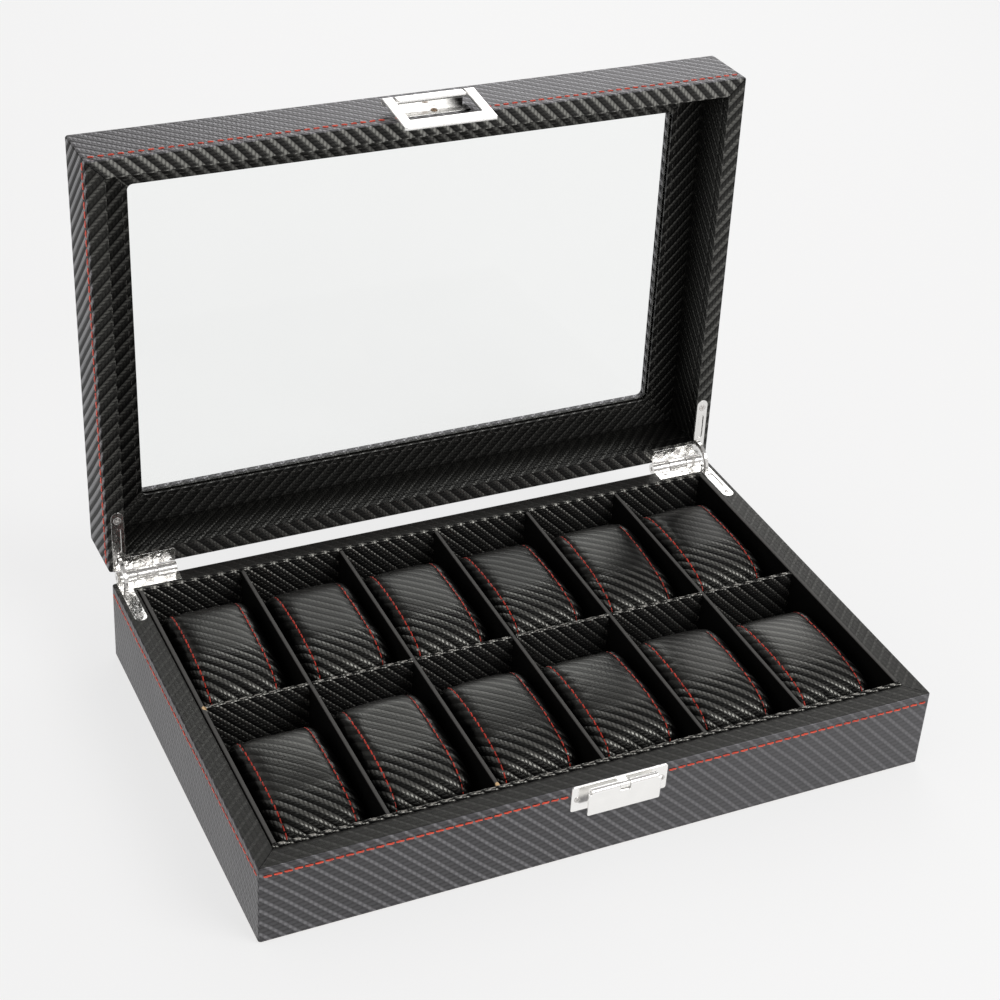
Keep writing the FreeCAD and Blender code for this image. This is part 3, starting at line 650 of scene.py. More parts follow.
CHROME = (0.90, 0.89, 0.87)
MATERIALS = {
    # painted light and shade: the tones given face by face make the faces of one black skin
    # lighter or darker as the light falls on them
    "cover": leatherette(
        "leatherette_base", "base", crease=BASE_SEAM_Z,
        tone=Faces(rim=0.95, inside=0.7, ends=1.7, long_sides=2.0),
        cross=Faces(rim=0.5, inside=0.3, ends=0.42, long_sides=0.46),
        soft=Faces(rim=0.5, inside=0.6, ends=0.7, long_sides=0.5),
        ior=Faces(rim=1.75, inside=1.72, ends=1.9, long_sides=1.85)),
    "lid": leatherette(
        "leatherette_lid", "lid", crease=LID_SEAM_Z, depth=0.32,
        tone=Faces(rim=Rim(ends=0.6, long_sides=2.0), inside=0.39, ends=0.92, long_sides=2.0),
        cross=Faces(rim=Rim(ends=0.3, long_sides=0.1), inside=0.36, ends=0.03, long_sides=0.4),
        soft=Faces(rim=Rim(ends=0.6, long_sides=0.9), inside=0.46, ends=0.85, long_sides=0.5),
        ior=Faces(rim=Rim(ends=1.85, long_sides=2.25), inside=1.85, ends=1.95, long_sides=2.1)),
    "trim": leatherette(
        "leatherette_trim", "trim", depth=0.26, cross=0.2, soft=0.7,
        tone=Faces(rim=0.5, inside=0.5, ends=0.52, long_sides=0.8)),
    "tray": leatherette("leatherette_tray", "flat", tone=1.9, depth=0.62, cross=0.02, soft=1.0,
                        rough=0.36, spec=1.0, ior=3.2, bare=BARE_SPOTS),
    "pillow": leatherette("leatherette_pillow", "uv", tone=0.8, depth=0.32, rough=0.30,
                          cross=0.08, soft=0.85, aniso=0.25, ior=1.85),
    "velvet": velvet("velvet_divider", level=0.0035),
    "lining": velvet("velvet_lining", level=0.004),
    "red": thread("thread_red", light=rgb(238, 78, 42), dark=rgb(140, 26, 14)),
    "grey": thread("thread_grey", light=rgb(176, 172, 164), dark=rgb(78, 74, 70)),
    # a darker copy of the red thread, used on the pillows
    "red_darker": thread("thread_red_darker", light=rgb(232, 58, 28), dark=rgb(112, 16, 8)),
    "black": thread("thread_black", light=rgb(62, 60, 56), dark=rgb(22, 21, 20)),
    "chrome": metal("chrome_plate", base=CHROME, rough=0.15, glow=0.08),
    # a darker copy of the chrome plate, without glow: painted shade for the dark reflections on
    # the hinges
    "hinge": metal("chrome_hinge", base=(0.80, 0.79, 0.77), rough=0.15, scratch=0.6, wave=10.0),
    "bracket": metal("chrome_bracket", base=CHROME, rough=0.18, glow=0.08, shade_top=237.2),
    "steel": metal("steel_pin", base=(0.66, 0.64, 0.62), rough=0.24, scratch=0.2, glow=0.05),
    "bronze": metal("browned_screw", base=(0.30, 0.20, 0.13), rough=0.35, scratch=0.3),
    "felt": felt("felt_grey"),
    "board": board("fibreboard", dark=rgb(120, 88, 56), light=rgb(196, 160, 116)),
    "stained": board("stained_board", dark=rgb(24, 22, 20), light=rgb(46, 42, 38)),
    "glass": glass("window_glass", ior=1.16),
}

# material and the CAD pieces that wear it
PAINT = (
    ("cover", "base_cover"),
    ("lid", "lid_cover"),
    ("trim", "lid_window_trim"),
    ("tray", "tray_front_wall tray_back_wall long_divider"),
    ("velvet", "tray_left_wall tray_right_wall cross_divider_1 cross_divider_2 cross_divider_3 "
               "cross_divider_4 cross_divider_5"),
    ("lining", "base_floor_lining"),
    ("board", "base_bottom_panel base_front_wall base_back_wall base_left_wall base_right_wall "
              "lid_front_wall lid_back_wall lid_left_wall lid_right_wall"),
    ("stained", "lid_top_frame"),
    ("hinge", "hinge_base_leaf_left hinge_base_leaf_right hinge_lid_leaf_left "
              "hinge_lid_leaf_right quadrant_left quadrant_right"),
    ("chrome", "keeper_plate latch_lever bail"),
    ("bracket", "bail_bracket"),
    ("steel", "hinge_pin_left hinge_pin_right hinge_base_screws hinge_lid_screws keeper_screws "
              "keeper_pin bail_pin"),
    ("bronze", "bail_bracket_screws"),
    ("glass", "lid_glass"),
)


def paint(key, pieces):
    for piece in pieces.split():
        target = NODES[piece]
        if not target.material_slots:
            target.data.materials.append(MATERIALS[key])
        for slot in target.material_slots:
            slot.material = MATERIALS[key]


for key, pieces in PAINT:
    paint(key, pieces)


# ------------------------------------------------------------------ mesh helpers
def new_object(name, data):
    made = bpy.data.objects.new(name, data)
    bpy.context.scene.collection.objects.link(made)
    return made


def mesh_object(name, verts, faces, key, body):
    mesh = bpy.data.meshes.new(name)
    mesh.from_pydata([tuple(v) for v in verts], [], [tuple(f) for f in faces])
    mesh.validate()
    mesh.update()
    mesh.polygons.foreach_set("use_smooth", [True] * len(mesh.polygons))
    made = new_object(name, mesh)
    mesh.materials.append(MATERIALS[key])
    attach(made, body)
    return made


def point_values(mesh, name, values):
    layer = mesh.attributes.new(name, "FLOAT", "POINT")
    layer.data.foreach_set("value", values.astype(np.float32))


# ------------------------------------------------------------------ stitches
# A run is one stitch: (start, end, outward normal).
PLY_TURNS = 1.6         # half turns of the plies in 4 mm


def tube_faces(rings, sides):
    """Faces of a capped tube: its rings, then the centres of its two ends."""
    faces = []
    for r in range(rings - 1):
        for s in range(sides):
            after = (s + 1) % sides
            faces.append((r * sides + s, (r + 1) * sides + s,
                          (r + 1) * sides + after, r * sides + after))
    last = (rings - 1) * sides
    for s in range(sides):
        after = (s + 1) % sides
        faces.append((rings * sides, s, after))
        faces.append((rings * sides + 1, last + after, last + s))
    return faces


def stitches(name, runs, key, body, half_w, half_h, seed, sides=8, rings=9, sink=0.35,
             lift=0.0):
    """One mesh of separate sewn stitches, each diving into its needle holes by sink."""
    rng = np.random.default_rng(seed)
    start = np.array([run[0] for run in runs], float)
    end = np.array([run[1] for run in runs], float)
    normal = np.array([run[2] for run in runs], float)
    count = len(runs)
    ahead = end - start
    length = np.linalg.norm(ahead, axis=1, keepdims=True)
    ahead = ahead / length
    normal = normal - (normal * ahead).sum(1, keepdims=True) * ahead
    normal /= np.linalg.norm(normal, axis=1, keepdims=True)
    sideways = np.cross(ahead, normal)

    t = np.linspace(0, 1, rings)
    from_middle = 2 * t - 1
    arch = 1 - np.abs(from_middle) ** 5
    width = 1 - 0.30 * np.abs(from_middle) ** 6
    skew = rng.normal(0, 0.05, (count, 1)) + 0.10
    wobble = rng.normal(0, 0.03, (count, 1))
    phase = rng.uniform(0, 2 * math.pi, (count, 1, 1))
    centre = (start[:, None, :] + (end - start)[:, None, :] * t[None, :, None]
              + sideways[:, None, :] * (skew * from_middle[None, :] + wobble)[..., None]
              + normal[:, None, :] * (lift - sink * (1 - arch))[None, :, None])

    angle = np.linspace(0, 2 * math.pi, sides, endpoint=False)[None, None, :]
    wound = angle + PLY_TURNS * math.pi * t[None, :, None] * length[:, :, None] / 4.0
    lobes = 1 + 0.13 * np.cos(2 * wound + phase)
    across = half_w * width[None, :, None] * lobes * np.cos(angle)
    up = half_h * width[None, :, None] * lobes * np.sin(angle)
    ring = (centre[:, :, None, :] + sideways[:, None, None, :] * across[..., None]
            + normal[:, None, None, :] * up[..., None])
    caps = np.stack([centre[:, 0], centre[:, -1]], 1)
    verts = np.concatenate([ring.reshape(count, -1, 3), caps], 1)
    per_stitch = verts.shape[1]
    tube = tube_faces(rings, sides)
    faces = [tuple(i + k * per_stitch for i in face) for k in range(count) for face in tube]
    made = mesh_object(name, verts.reshape(-1, 3) * MM, faces, key, body)

    tone = np.repeat(rng.uniform(0, 1, count), per_stitch)
    twist = (wound / math.pi + phase / (2 * math.pi)).reshape(count, -1)
    twist = np.concatenate([twist, np.zeros((count, 2))], 1)
    point_values(made.data, "tone", tone)
    point_values(made.data, "twist", twist.reshape(-1))
    return made


def line_runs(start, end, normal, pitch, cover, seed, wander=0.06):
    """Stitches evenly spaced from start to end, each filling the fraction cover of its pitch."""
    rng = np.random.default_rng(seed)
    start, end = np.array(start, float), np.array(end, float)
    count = max(1, int(round(np.linalg.norm(end - start) / pitch)))
    step = (end - start) / count
    sideways = np.cross(step / np.linalg.norm(step), normal)
    runs = []
    for k in range(count):
        middle = start + step * (k + 0.5) + sideways * rng.normal(0, wander)
        runs.append((middle - step * cover / 2, middle + step * cover / 2,
                     np.array(normal, float)))
    return runs


def opened_run(run):
    start, end, normal = run
    return opened(start), opened(end), opened(start + normal) - opened(start)


def around(z, front_cover):
    """Runs round the outside of the case at height z, with a gap in front for the latch."""
    end_x, end_y = CASE_X - 1.6, CASE_Y - 1.6
    face_x, face_y = CASE_X + 0.02, CASE_Y + 0.02
    # start, end, direction the face looks in, cover
    lines = (
        ((-end_x, -face_y), (LATCH_X - LATCH_GAP, -face_y), (0, -1, 0), front_cover),
        ((LATCH_X + LATCH_GAP, -face_y), (end_x, -face_y), (0, -1, 0), front_cover),
        ((face_x, -end_y), (face_x, end_y), (1, 0, 0), 0.9),
        ((end_x, face_y), (-end_x, face_y), (0, 1, 0), 0.9),
        ((-face_x, end_y), (-face_x, -end_y), (-1, 0, 0), 0.9),
    )
    runs = []
    for seed, (start, end, normal, cover) in enumerate(lines, start=1):
        runs += line_runs((*start, z), (*end, z), normal, STITCH_PITCH, cover, seed)
    return runs


def case_stitches():
    base = stitches("base_red_stitches", around(BASE_SEAM_Z, front_cover=0.92), "red", "base",
                    half_w=0.46, half_h=0.28, sides=10, rings=11, seed=11)
    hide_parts("base_stitching")
    runs = [opened_run(run) for run in around(LID_SEAM_Z, front_cover=0.68)]
    lid = stitches("lid_red_stitches", runs, "red", "lid",
                   half_w=0.6, half_h=0.34, sides=10, rings=11, seed=12)
    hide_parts("lid_stitching")


def tray_stitches():
    """Dashes down in the sewn channel of the front wall and of the long divider."""
    dash = dict(normal=(0, 0, 1), pitch=6.2, cover=0.44, wander=0.03)
    wall_x, wall_y = 140.2, -86.4
    divider_y = 0.35
    first_x = -139.0        # left end of the first compartment
    clear = 0.4             # from a cross divider to the nearest dash
    runs = line_runs((-wall_x, wall_y, TRAY_TOP), (wall_x, wall_y, TRAY_TOP), seed=21, **dash)
    for k in range(6):
        left = first_x + PITCH * k
        runs += line_runs((left + clear, divider_y, TRAY_TOP),
                          (left + PITCH - TRAY_WALL - clear, divider_y, TRAY_TOP),
                          seed=22 + k, **dash)
    tray = stitches("tray_grey_stitches", runs, "grey", "base",
                    half_w=0.24, half_h=0.21, sink=0.3, seed=13, lift=-0.03)
    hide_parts("tray_stitching")


def window_stitches():
    """Fine sewn line round the window on the inside of the lid."""
    x, y, z = 129.6, 76.9, 61.65
    corners = [(-x, -y, z), (x, -y, z), (x, y, z), (-x, y, z)]
    runs = []
    for start, end in zip(corners, corners[1:] + corners[:1]):
        runs += line_runs(start, end, (0, 0, -1), pitch=3.4, cover=0.74, wander=0.03, seed=31)
    stitches("window_black_stitches", [opened_run(run) for run in runs], "black", "lid",
             half_w=0.2, half_h=0.16, sink=0.25, seed=14)


case_stitches()
tray_stitches()
window_stitches()

# ------------------------------------------------------------------ pillow form
PILLOW_X, PILLOW_Y = 20.5, 31.0     # half width and half length
BLOCK_Z0, BLOCK_Z1 = 5.05, 35.0     # underside and top of the unrounded block
BLOCK_H = BLOCK_Z1 - BLOCK_Z0
SEAM_X = 14.3
SIDE_Z = 18.0                       # height of the middle of the side panels
# y, z along a seam, from the front of the underside over the top to the back of the underside
PROFILE = [
    (-30.6, 5.05), (-31.0, 7.0), (-31.4, 15.0), (-31.2, 22.0), (-30.6, 25.6), (-29.4, 28.2),
    (-27.4, 30.3), (-24.2, 32.0), (-19.5, 33.6), (-13.5, 34.9), (-5.5, 35.9), (5.0, 36.4),
    (15.0, 36.3), (21.5, 35.7), (25.6, 34.6), (28.6, 32.6), (30.4, 30.0), (31.1, 26.0),
    (31.4, 16.0), (31.0, 7.0), (30.6, 5.05)]
UNDER_Y = PROFILE[-1][0]


def spaced(low, high, step):
    return list(np.linspace(low, high, max(2, int(round((high - low) / step)) + 1)))


def pillow_cage():
    """Box grid of a pillow: vertices, quads, and each quad corner's place on the unfolded skin."""
    half = (spaced(0, SEAM_X - 1.2, 2.2)[1:]
            + [SEAM_X - 0.55, SEAM_X, SEAM_X + 0.55, SEAM_X + 1.3]
            + spaced(SEAM_X + 1.3, PILLOW_X, 1.9)[1:])
    xs = [-x for x in reversed(half)] + [0.0] + half
    ys = spaced(-PILLOW_Y, PILLOW_Y, 2.0)
    zs = spaced(BLOCK_Z0, BLOCK_Z1, 2.0)
    index, verts, faces, unfolded = {}, [], [], []

    def vertex(point):
        key = tuple(round(c, 4) for c in point)
        if key not in index:
            index[key] = len(verts)
            verts.append(key)
        return index[key]

    def sheet(a, b, place, unfold, flip):
        for i in range(len(a) - 1):
            for j in range(len(b) - 1):
                corners = [(a[i], b[j]), (a[i + 1], b[j]), (a[i + 1], b[j + 1]), (a[i], b[j + 1])]
                if flip:
                    corners.reverse()
                faces.append([vertex(place(*corner)) for corner in corners])
                unfolded.append([unfold(*corner) for corner in corners])

    # top, underside, front, back, left, right
    sheet(xs, ys, lambda x, y: (x, y, BLOCK_Z1), lambda x, y: (x, y), False)
    sheet(xs, ys, lambda x, y: (x, y, BLOCK_Z0),
          lambda x, y: (x, -y - 2 * PILLOW_Y - BLOCK_H), True)
    sheet(xs, zs, lambda x, z: (x, -PILLOW_Y, z),
          lambda x, z: (x, -PILLOW_Y - (BLOCK_Z1 - z)), False)
    sheet(xs, zs, lambda x, z: (x, PILLOW_Y, z),
          lambda x, z: (x, PILLOW_Y + (BLOCK_Z1 - z)), True)
    sheet(ys, zs, lambda y, z: (-PILLOW_X, y, z),
          lambda y, z: (-PILLOW_X - (BLOCK_Z1 - z), y), True)
    sheet(ys, zs, lambda y, z: (PILLOW_X, y, z),
          lambda y, z: (PILLOW_X + (BLOCK_Z1 - z), y), False)
    return np.array(verts, float), faces, unfolded


def cage_edges(faces):
    edges = set()
    for face in faces:
        for i in range(4):
            a, b = face[i], face[(i + 1) % 4]
            edges.add((min(a, b), max(a, b)))
    edges = np.array(sorted(edges))
    return edges[:, 0], edges[:, 1]


def corner_cut(points, times):
    """Round a polyline by cutting its corners, keeping its ends."""
    points = np.array(points, float)
    for _ in range(times):
        cut = np.empty((2 * len(points), 2))
        cut[0], cut[-1] = points[0], points[-1]
        cut[1:-1:2] = points[:-1] * 0.75 + points[1:] * 0.25
        cut[2:-1:2] = points[:-1] * 0.25 + points[1:] * 0.75
        points = cut
    return points


CAGE, CAGE_FACES, CAGE_UV = pillow_cage()
CAGE_EDGES = cage_edges(CAGE_FACES)
CAGE_ABS_X = np.abs(CAGE[:, 0])
LOOP = corner_cut(PROFILE, times=3)
LOOP_S = np.concatenate([[0], np.cumsum(np.linalg.norm(np.diff(LOOP, axis=0), axis=1))])
LOOP_T = np.gradient(LOOP, LOOP_S, axis=0)
LOOP_N = np.stack([-LOOP_T[:, 1], LOOP_T[:, 0]], 1)
LOOP_N /= np.linalg.norm(LOOP_N, axis=1, keepdims=True)
BLOCK_RUN = 2 * BLOCK_H + 2 * PILLOW_Y      # the block's outline over the same run


def on_loop(y, z):
    """Place on the profile of a point of the block's outline, and the outward direction there."""
    over_back = np.where(y < 0, z - BLOCK_Z0, 2 * PILLOW_Y + BLOCK_H + (BLOCK_Z1 - z))
    s = np.where(z > BLOCK_Z1 - 1e-6, BLOCK_H + (y + PILLOW_Y), over_back)
    s = s / BLOCK_RUN * LOOP_S[-1]
    point = np.stack([np.interp(s, LOOP_S, LOOP[:, c]) for c in range(2)], -1)
    outward = np.stack([np.interp(s, LOOP_S, LOOP_N[:, c]) for c in range(2)], -1)
    return point, outward / np.linalg.norm(outward, axis=-1, keepdims=True)


def lift_off(x):
    """How far the skin stands off the seam profile: puffed between the seams, falling outside."""
    x = np.abs(x)
    puff = 0.45 * np.cos(np.clip(x / SEAM_X, 0, 1) * math.pi / 2) ** 0.7
    outside = np.clip((x - SEAM_X) / (PILLOW_X - SEAM_X), 0, 1)
    return puff - 4.3 * outside ** 1.9


def shape_pillow():
    """The sewn form before it is filled."""
    x, y, z = CAGE.T
    out = CAGE.copy()
    side = CAGE_ABS_X > PILLOW_X - 1e-6
    floor = z < BLOCK_Z0 + 1e-6
    loop = ~side & ~floor
    point, outward = on_loop(y[loop], z[loop])
    off = lift_off(x[loop]) * np.clip((point[:, 1] - BLOCK_Z0) / 6.0, 0, 1)
    out[loop, 1] = point[:, 0] + outward[:, 0] * off
    out[loop, 2] = point[:, 1] + outward[:, 1] * off
    out[floor, 1] = y[floor] * UNDER_Y / PILLOW_Y
    out[floor, 0] = x[floor] * (PILLOW_X - 1.0) / PILLOW_X

    # side panels: the outline of the sloping margin, filled in towards the middle
    side_y, side_z = y[side], z[side]
    ratio_y = np.abs(side_y) / PILLOW_Y
    ratio_z = np.where(side_z > SIDE_Z, (side_z - SIDE_Z) / (BLOCK_Z1 - SIDE_Z),
                       (SIDE_Z - side_z) / (SIDE_Z - BLOCK_Z0))
    rho = np.maximum(np.maximum(ratio_y, ratio_z), 1e-6)     # 0 in the middle, 1 on the outline
    rim_y, rim_z = side_y / rho, SIDE_Z + (side_z - SIDE_Z) / rho
    under = rim_z < BLOCK_Z0 + 1e-6
    point, outward = on_loop(rim_y, np.minimum(rim_z, BLOCK_Z1))
    fade = np.clip((point[:, 1] - BLOCK_Z0) / 6.0, 0, 1)[:, None]
    edge = point + outward * lift_off(np.full(len(rim_y), PILLOW_X))[:, None] * fade
    edge[under] = np.stack([rim_y[under] * UNDER_Y / PILLOW_Y,
                            np.full(under.sum(), BLOCK_Z0)], 1)
    centre = np.array([0.0, SIDE_Z])
    panel = centre + (edge - centre) * rho[:, None]
    out[side, 1], out[side, 2] = panel[:, 0], panel[:, 1]
    # drawn in at the outline, bulging in the middle, narrower towards the underside
    out[side, 0] = np.sign(x[side]) * (
        PILLOW_X - 0.9 * np.clip(rho - 0.75, 0, 1) * 2 + 0.5 * (1 - rho ** 2)
        - 0.5 * np.clip((SIDE_Z - panel[:, 1]) / 13, 0, 1))
    return out


def smooth_once(verts, pull):
    """Draw each vertex towards the mean of its neighbours by its share in pull."""
    total = np.zeros_like(verts)
    count = np.zeros(len(verts))
    a, b = CAGE_EDGES
    np.add.at(total, a, verts[b])
    np.add.at(total, b, verts[a])
    np.add.at(count, a, 1)
    np.add.at(count, b, 1)
    total /= count[:, None]
    return verts + (total - verts) * pull[:, None]


# ------------------------------------------------------------------ pillow filling
CLOTH_SCALE = MM * 10       # the cloth is simulated ten times as large as it is
LAST_FRAME = 22
MOST_MOVE = 1.1             # the filling never moves the skin further than this
# one per variant: bending stiffness, shrinkage (negative swells), pressure
FILLINGS = (
    (0.4, -0.035, 3.2),
    (0.65, -0.045, 2.6),
    (0.9, -0.028, 3.8),
)


def simulate(start, hold, filling):
    """Vertices of the skin after the cloth simulation; hold pins them, 0 to 1."""
    mesh = bpy.data.meshes.new("fill")
    mesh.from_pydata([tuple(point * MM * 10) for point in start], [], CAGE_FACES)
    skin = new_object("fill", mesh)
    group = skin.vertex_groups.new(name="hold")
    for i in np.nonzero(hold > 0)[0]:
        group.add([int(i)], float(hold[i]), "REPLACE")
    cloth = skin.modifiers.new("cloth", "CLOTH")
    settings = cloth.settings
    settings.vertex_group_mass = "hold"
    settings.quality = 6
    settings.mass = 0.3
    settings.tension_stiffness = 22
    settings.compression_stiffness = 18
    settings.shear_stiffness = 9
    settings.bending_stiffness, settings.shrink_min, pressure = filling
    settings.use_pressure = True
    settings.uniform_pressure_force = pressure
    settings.effector_weights.gravity = 0.0
    cloth.collision_settings.use_self_collision = False
    scene = bpy.context.scene
    for number in range(1, LAST_FRAME + 1):
        scene.frame_set(number)
    result = skin.evaluated_get(bpy.context.evaluated_depsgraph_get()).data
    flat = np.empty(len(result.vertices) * 3)
    result.vertices.foreach_get("co", flat)
    filled = flat.reshape(-1, 3) / CLOTH_SCALE
    bpy.data.objects.remove(skin)
    bpy.data.meshes.remove(mesh)
    scene.frame_set(1)
    return filled


def filled_pillow(filling):
    """The skin over its filling: seams and underside are held, the rest swells and gathers."""
    start = shape_pillow()
    seam = (np.abs(CAGE_ABS_X - SEAM_X) < 0.01) & (CAGE[:, 2] > BLOCK_Z0 + 2)
    under = CAGE[:, 2] < BLOCK_Z0 + 0.01
    for _ in range(3):
        start = smooth_once(start, pull=np.where(under, 0.0, 0.5))
    hold = np.where(under, 1.0, np.where(seam, 0.8, 0.0))
    move = simulate(start, hold, filling) - start
    reach = np.linalg.norm(move, axis=1)
    move *= (MOST_MOVE * np.tanh(reach / MOST_MOVE) / np.maximum(reach, 1e-9))[:, None]
    move[under] = 0
    return start + move


VARIANTS = [filled_pillow(filling) for filling in FILLINGS]

# ------------------------------------------------------------------ pillows in the tray
FIRST_X = -116.58                   # middle of the leftmost compartments
ROW_Y = (-45.5, 41.25)              # middle of the front and the back row
ROOM = ((0, 22.1), (1, 34.6))       # axis and half size of a compartment
HIGHEST = 38.3
SEAM_STITCH = 3.3                   # pitch of the pillow stitches
# how each pillow sits: aside, back, raised, turned (rad), raised more at the back
SEAT = [
    (0.03, 0.2, -0.9, 0.014, -0.25), (-0.9, 2.2, 1.3, 0.015, -0.25),
    (0.3, 2.2, 0.5, 0.012, -0.15), (-0.2, 1.9, 0.5, 0.015, -1.2),
    (-0.7, 1.2, 0.7, 0.006, -0.9), (-0.9, -0.9, 0.1, 0.014, -1.1),
    (-0.5, 2.2, 0.5, -0.012, 0.1), (0.0, 1.3, 1.0, 0.005, -0.9),
    (-0.9, 1.3, 0.6, 0.014, -0.5), (-0.9, 1.1, 0.9, 0.014, -1.3),
    (-0.1, 0.6, 0.3, -0.012, 0.05), (-0.8, 2.0, 0.9, 0.014, -0.7)]
# how much the top of each one is darkened: partly lost sheen, partly painted shade, most in the
# back row
TOP_WEAR_AND_SHADE = [0.15, 0.24, 0.30, 0.21, 0.21, 0.04, 0.33, 0.50, 0.43, 0.58, 0.34, 0.45]


def seated(number, rng):
    """Vertices of one pillow about the middle of its compartment."""
    verts = VARIANTS[number % 3].copy()
    # seams are pulled down a little, and bow outwards in the middle
    near_seam = np.exp(-((CAGE_ABS_X - SEAM_X) / 0.55) ** 2)
    topness = np.clip((CAGE[:, 2] - 12) / 8, 0, 1)
    verts[:, 2] -= near_seam * 0.38 * topness
    bow = (0.2 * (1 - (CAGE[:, 1] / PILLOW_Y) ** 2) * np.clip((CAGE_ABS_X - 6) / 8, 0, 1)
           * np.clip((PILLOW_X - CAGE_ABS_X) / 4, 0, 1))
    verts[:, 0] += np.sign(CAGE[:, 0]) * bow * topness
    # every pillow sits a little differently
    lean = rng.normal(0, 0.15)
    aside, back, raised, turn, nod = SEAT[number]
    up = np.clip((CAGE[:, 2] - BLOCK_Z0) / BLOCK_H, 0, 1)
    verts[:, 0] += lean * up
    verts[:, 2] += (raised + nod * verts[:, 1] / PILLOW_Y) * up
    c, s = math.cos(turn), math.sin(turn)
    verts[:, 0], verts[:, 1] = (verts[:, 0] * c - verts[:, 1] * s + aside,
                                verts[:, 0] * s + verts[:, 1] * c + back)
    # low lumps on top; of the four phases drawn, two are used
    phase = rng.uniform(0, 6.28, 4)
    verts[:, 2] += (up ** 2 * 0.22 * np.sin(verts[:, 1] * 0.11 + phase[0])
                    * np.cos(verts[:, 0] * 0.13 + phase[1]))
    for axis, limit in ROOM:
        # soft stop over the last millimetre of the compartment
        along = verts[:, axis]
        over = np.abs(along) - (limit - 1.0)
        stopped = np.sign(along) * (limit - 1.0 + np.tanh(np.maximum(over, 0)))
        verts[:, axis] = np.where(over > 0, stopped, along)
    verts[:, 2] = np.clip(verts[:, 2], BLOCK_Z0, HIGHEST)
    return verts


def skin_attributes(mesh, number, rng):
    """Where the skin is stretched or hangs over, and where light and shade are painted on it, for
    the material.
    """
    on_top = CAGE[:, 2] > BLOCK_Z1 - 0.01
    place = np.where(on_top, CAGE[:, 1], np.where(CAGE[:, 1] < 0, -PILLOW_Y, PILLOW_Y))
    front = np.clip((-place - 9.0 - 2.5 * rng.uniform(-1, 1)) / 8.0, 0, 1)
    point_values(mesh, "roll", front ** 2 * (3 - 2 * front))
    # margin marks the sloping sides, which are painted in shade
    point_values(mesh, "margin", np.clip((CAGE_ABS_X - SEAM_X - 0.4) / 3.6, 0, 1) ** 0.8)
    point_values(mesh, "wear_and_shade", np.full(len(CAGE), TOP_WEAR_AND_SHADE[number]))


def outline_place(i):
    """Order of a cage vertex along a seam: front upwards, over the top, back downwards."""
    _, y, z = CAGE[i]
    if abs(z - BLOCK_Z1) < 0.01:
        return y
    return -PILLOW_Y - (BLOCK_Z1 - z) if y < 0 else PILLOW_Y + (BLOCK_Z1 - z)


def seam_runs(skin):
    """Stitches that follow the finished skin along its two seams."""
    evaluated = skin.evaluated_get(bpy.context.evaluated_depsgraph_get())
    mesh = evaluated.to_mesh()
    runs = []
    for sign in (-1, 1):
        ids = [i for i in range(len(CAGE))
               if abs(CAGE[i, 0] - sign * SEAM_X) < 0.01 and CAGE[i, 2] > 9.0]
        ids.sort(key=outline_place)
        # the first vertices of a subdivided mesh are the moved originals
        points = np.array([mesh.vertices[i].co[:] for i in ids]) / MM
        normals = np.array([mesh.vertices[i].normal[:] for i in ids])
        gaps = np.linalg.norm(np.diff(points, axis=0), axis=1)
        s = np.concatenate([[0], np.cumsum(gaps)])

        def sample(at, rows):
            return np.array([np.interp(at, s, rows[:, c]) for c in range(3)])

        count = int(s[-1] / SEAM_STITCH)
        for k in range(count):
            start, end = (k + 0.03) * s[-1] / count, (k + 0.97) * s[-1] / count
            normal = sample((start + end) / 2, normals)
            normal /= np.linalg.norm(normal)
            runs.append((sample(start, points), sample(end, points), normal))
    evaluated.to_mesh_clear()
    return runs


def pillow(number, x, y):
    cushion = "cushion_%02d" % (number + 1)
    name = "pillow_%02d" % (number + 1)
    rng = np.random.default_rng(300 + number)
    verts = seated(number, rng)
    verts[:, 0] += x
    verts[:, 1] += y
    mesh = bpy.data.meshes.new(name)
    mesh.from_pydata([tuple(point) for point in verts * MM], [], CAGE_FACES)
    layer = mesh.uv_layers.new(name="weave")
    shift = rng.uniform(0, TOW * TWILL_REPEAT, 2)
    unfolded = (np.array([corner for face in CAGE_UV for corner in face], float) + shift) * MM
    layer.data.foreach_set("uv", unfolded.ravel().astype(np.float32))
    mesh.polygons.foreach_set("use_smooth", [True] * len(mesh.polygons))
    mesh.update()
    skin = new_object(name, mesh)
    mesh.materials.append(MATERIALS["pillow"])
    subdivision = skin.modifiers.new("skin", "SUBSURF")
    subdivision.levels = subdivision.render_levels = 1
    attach(skin, cushion)
    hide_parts(cushion)
    skin_attributes(mesh, number, rng)
    stitches("pillow_stitches_%02d" % (number + 1), seam_runs(skin), "red_darker", cushion,
             half_w=0.34, half_h=0.25, sink=0.36, seed=400 + number, lift=0.03)


for k in range(6):
    for row, y in enumerate(ROW_Y):
        pillow(k + 6 * row, FIRST_X + PITCH * k, y)

# ------------------------------------------------------------------ felt under the case
FELT_X, FELT_Y, FELT_TOP = 146, 92.5, 0.97      # half length, half depth, upper face
FELT_NX, FELT_NY = 120, 78                      # grid points along x and y
FELT_EDGE = 1.2                                 # width of the rounded edge


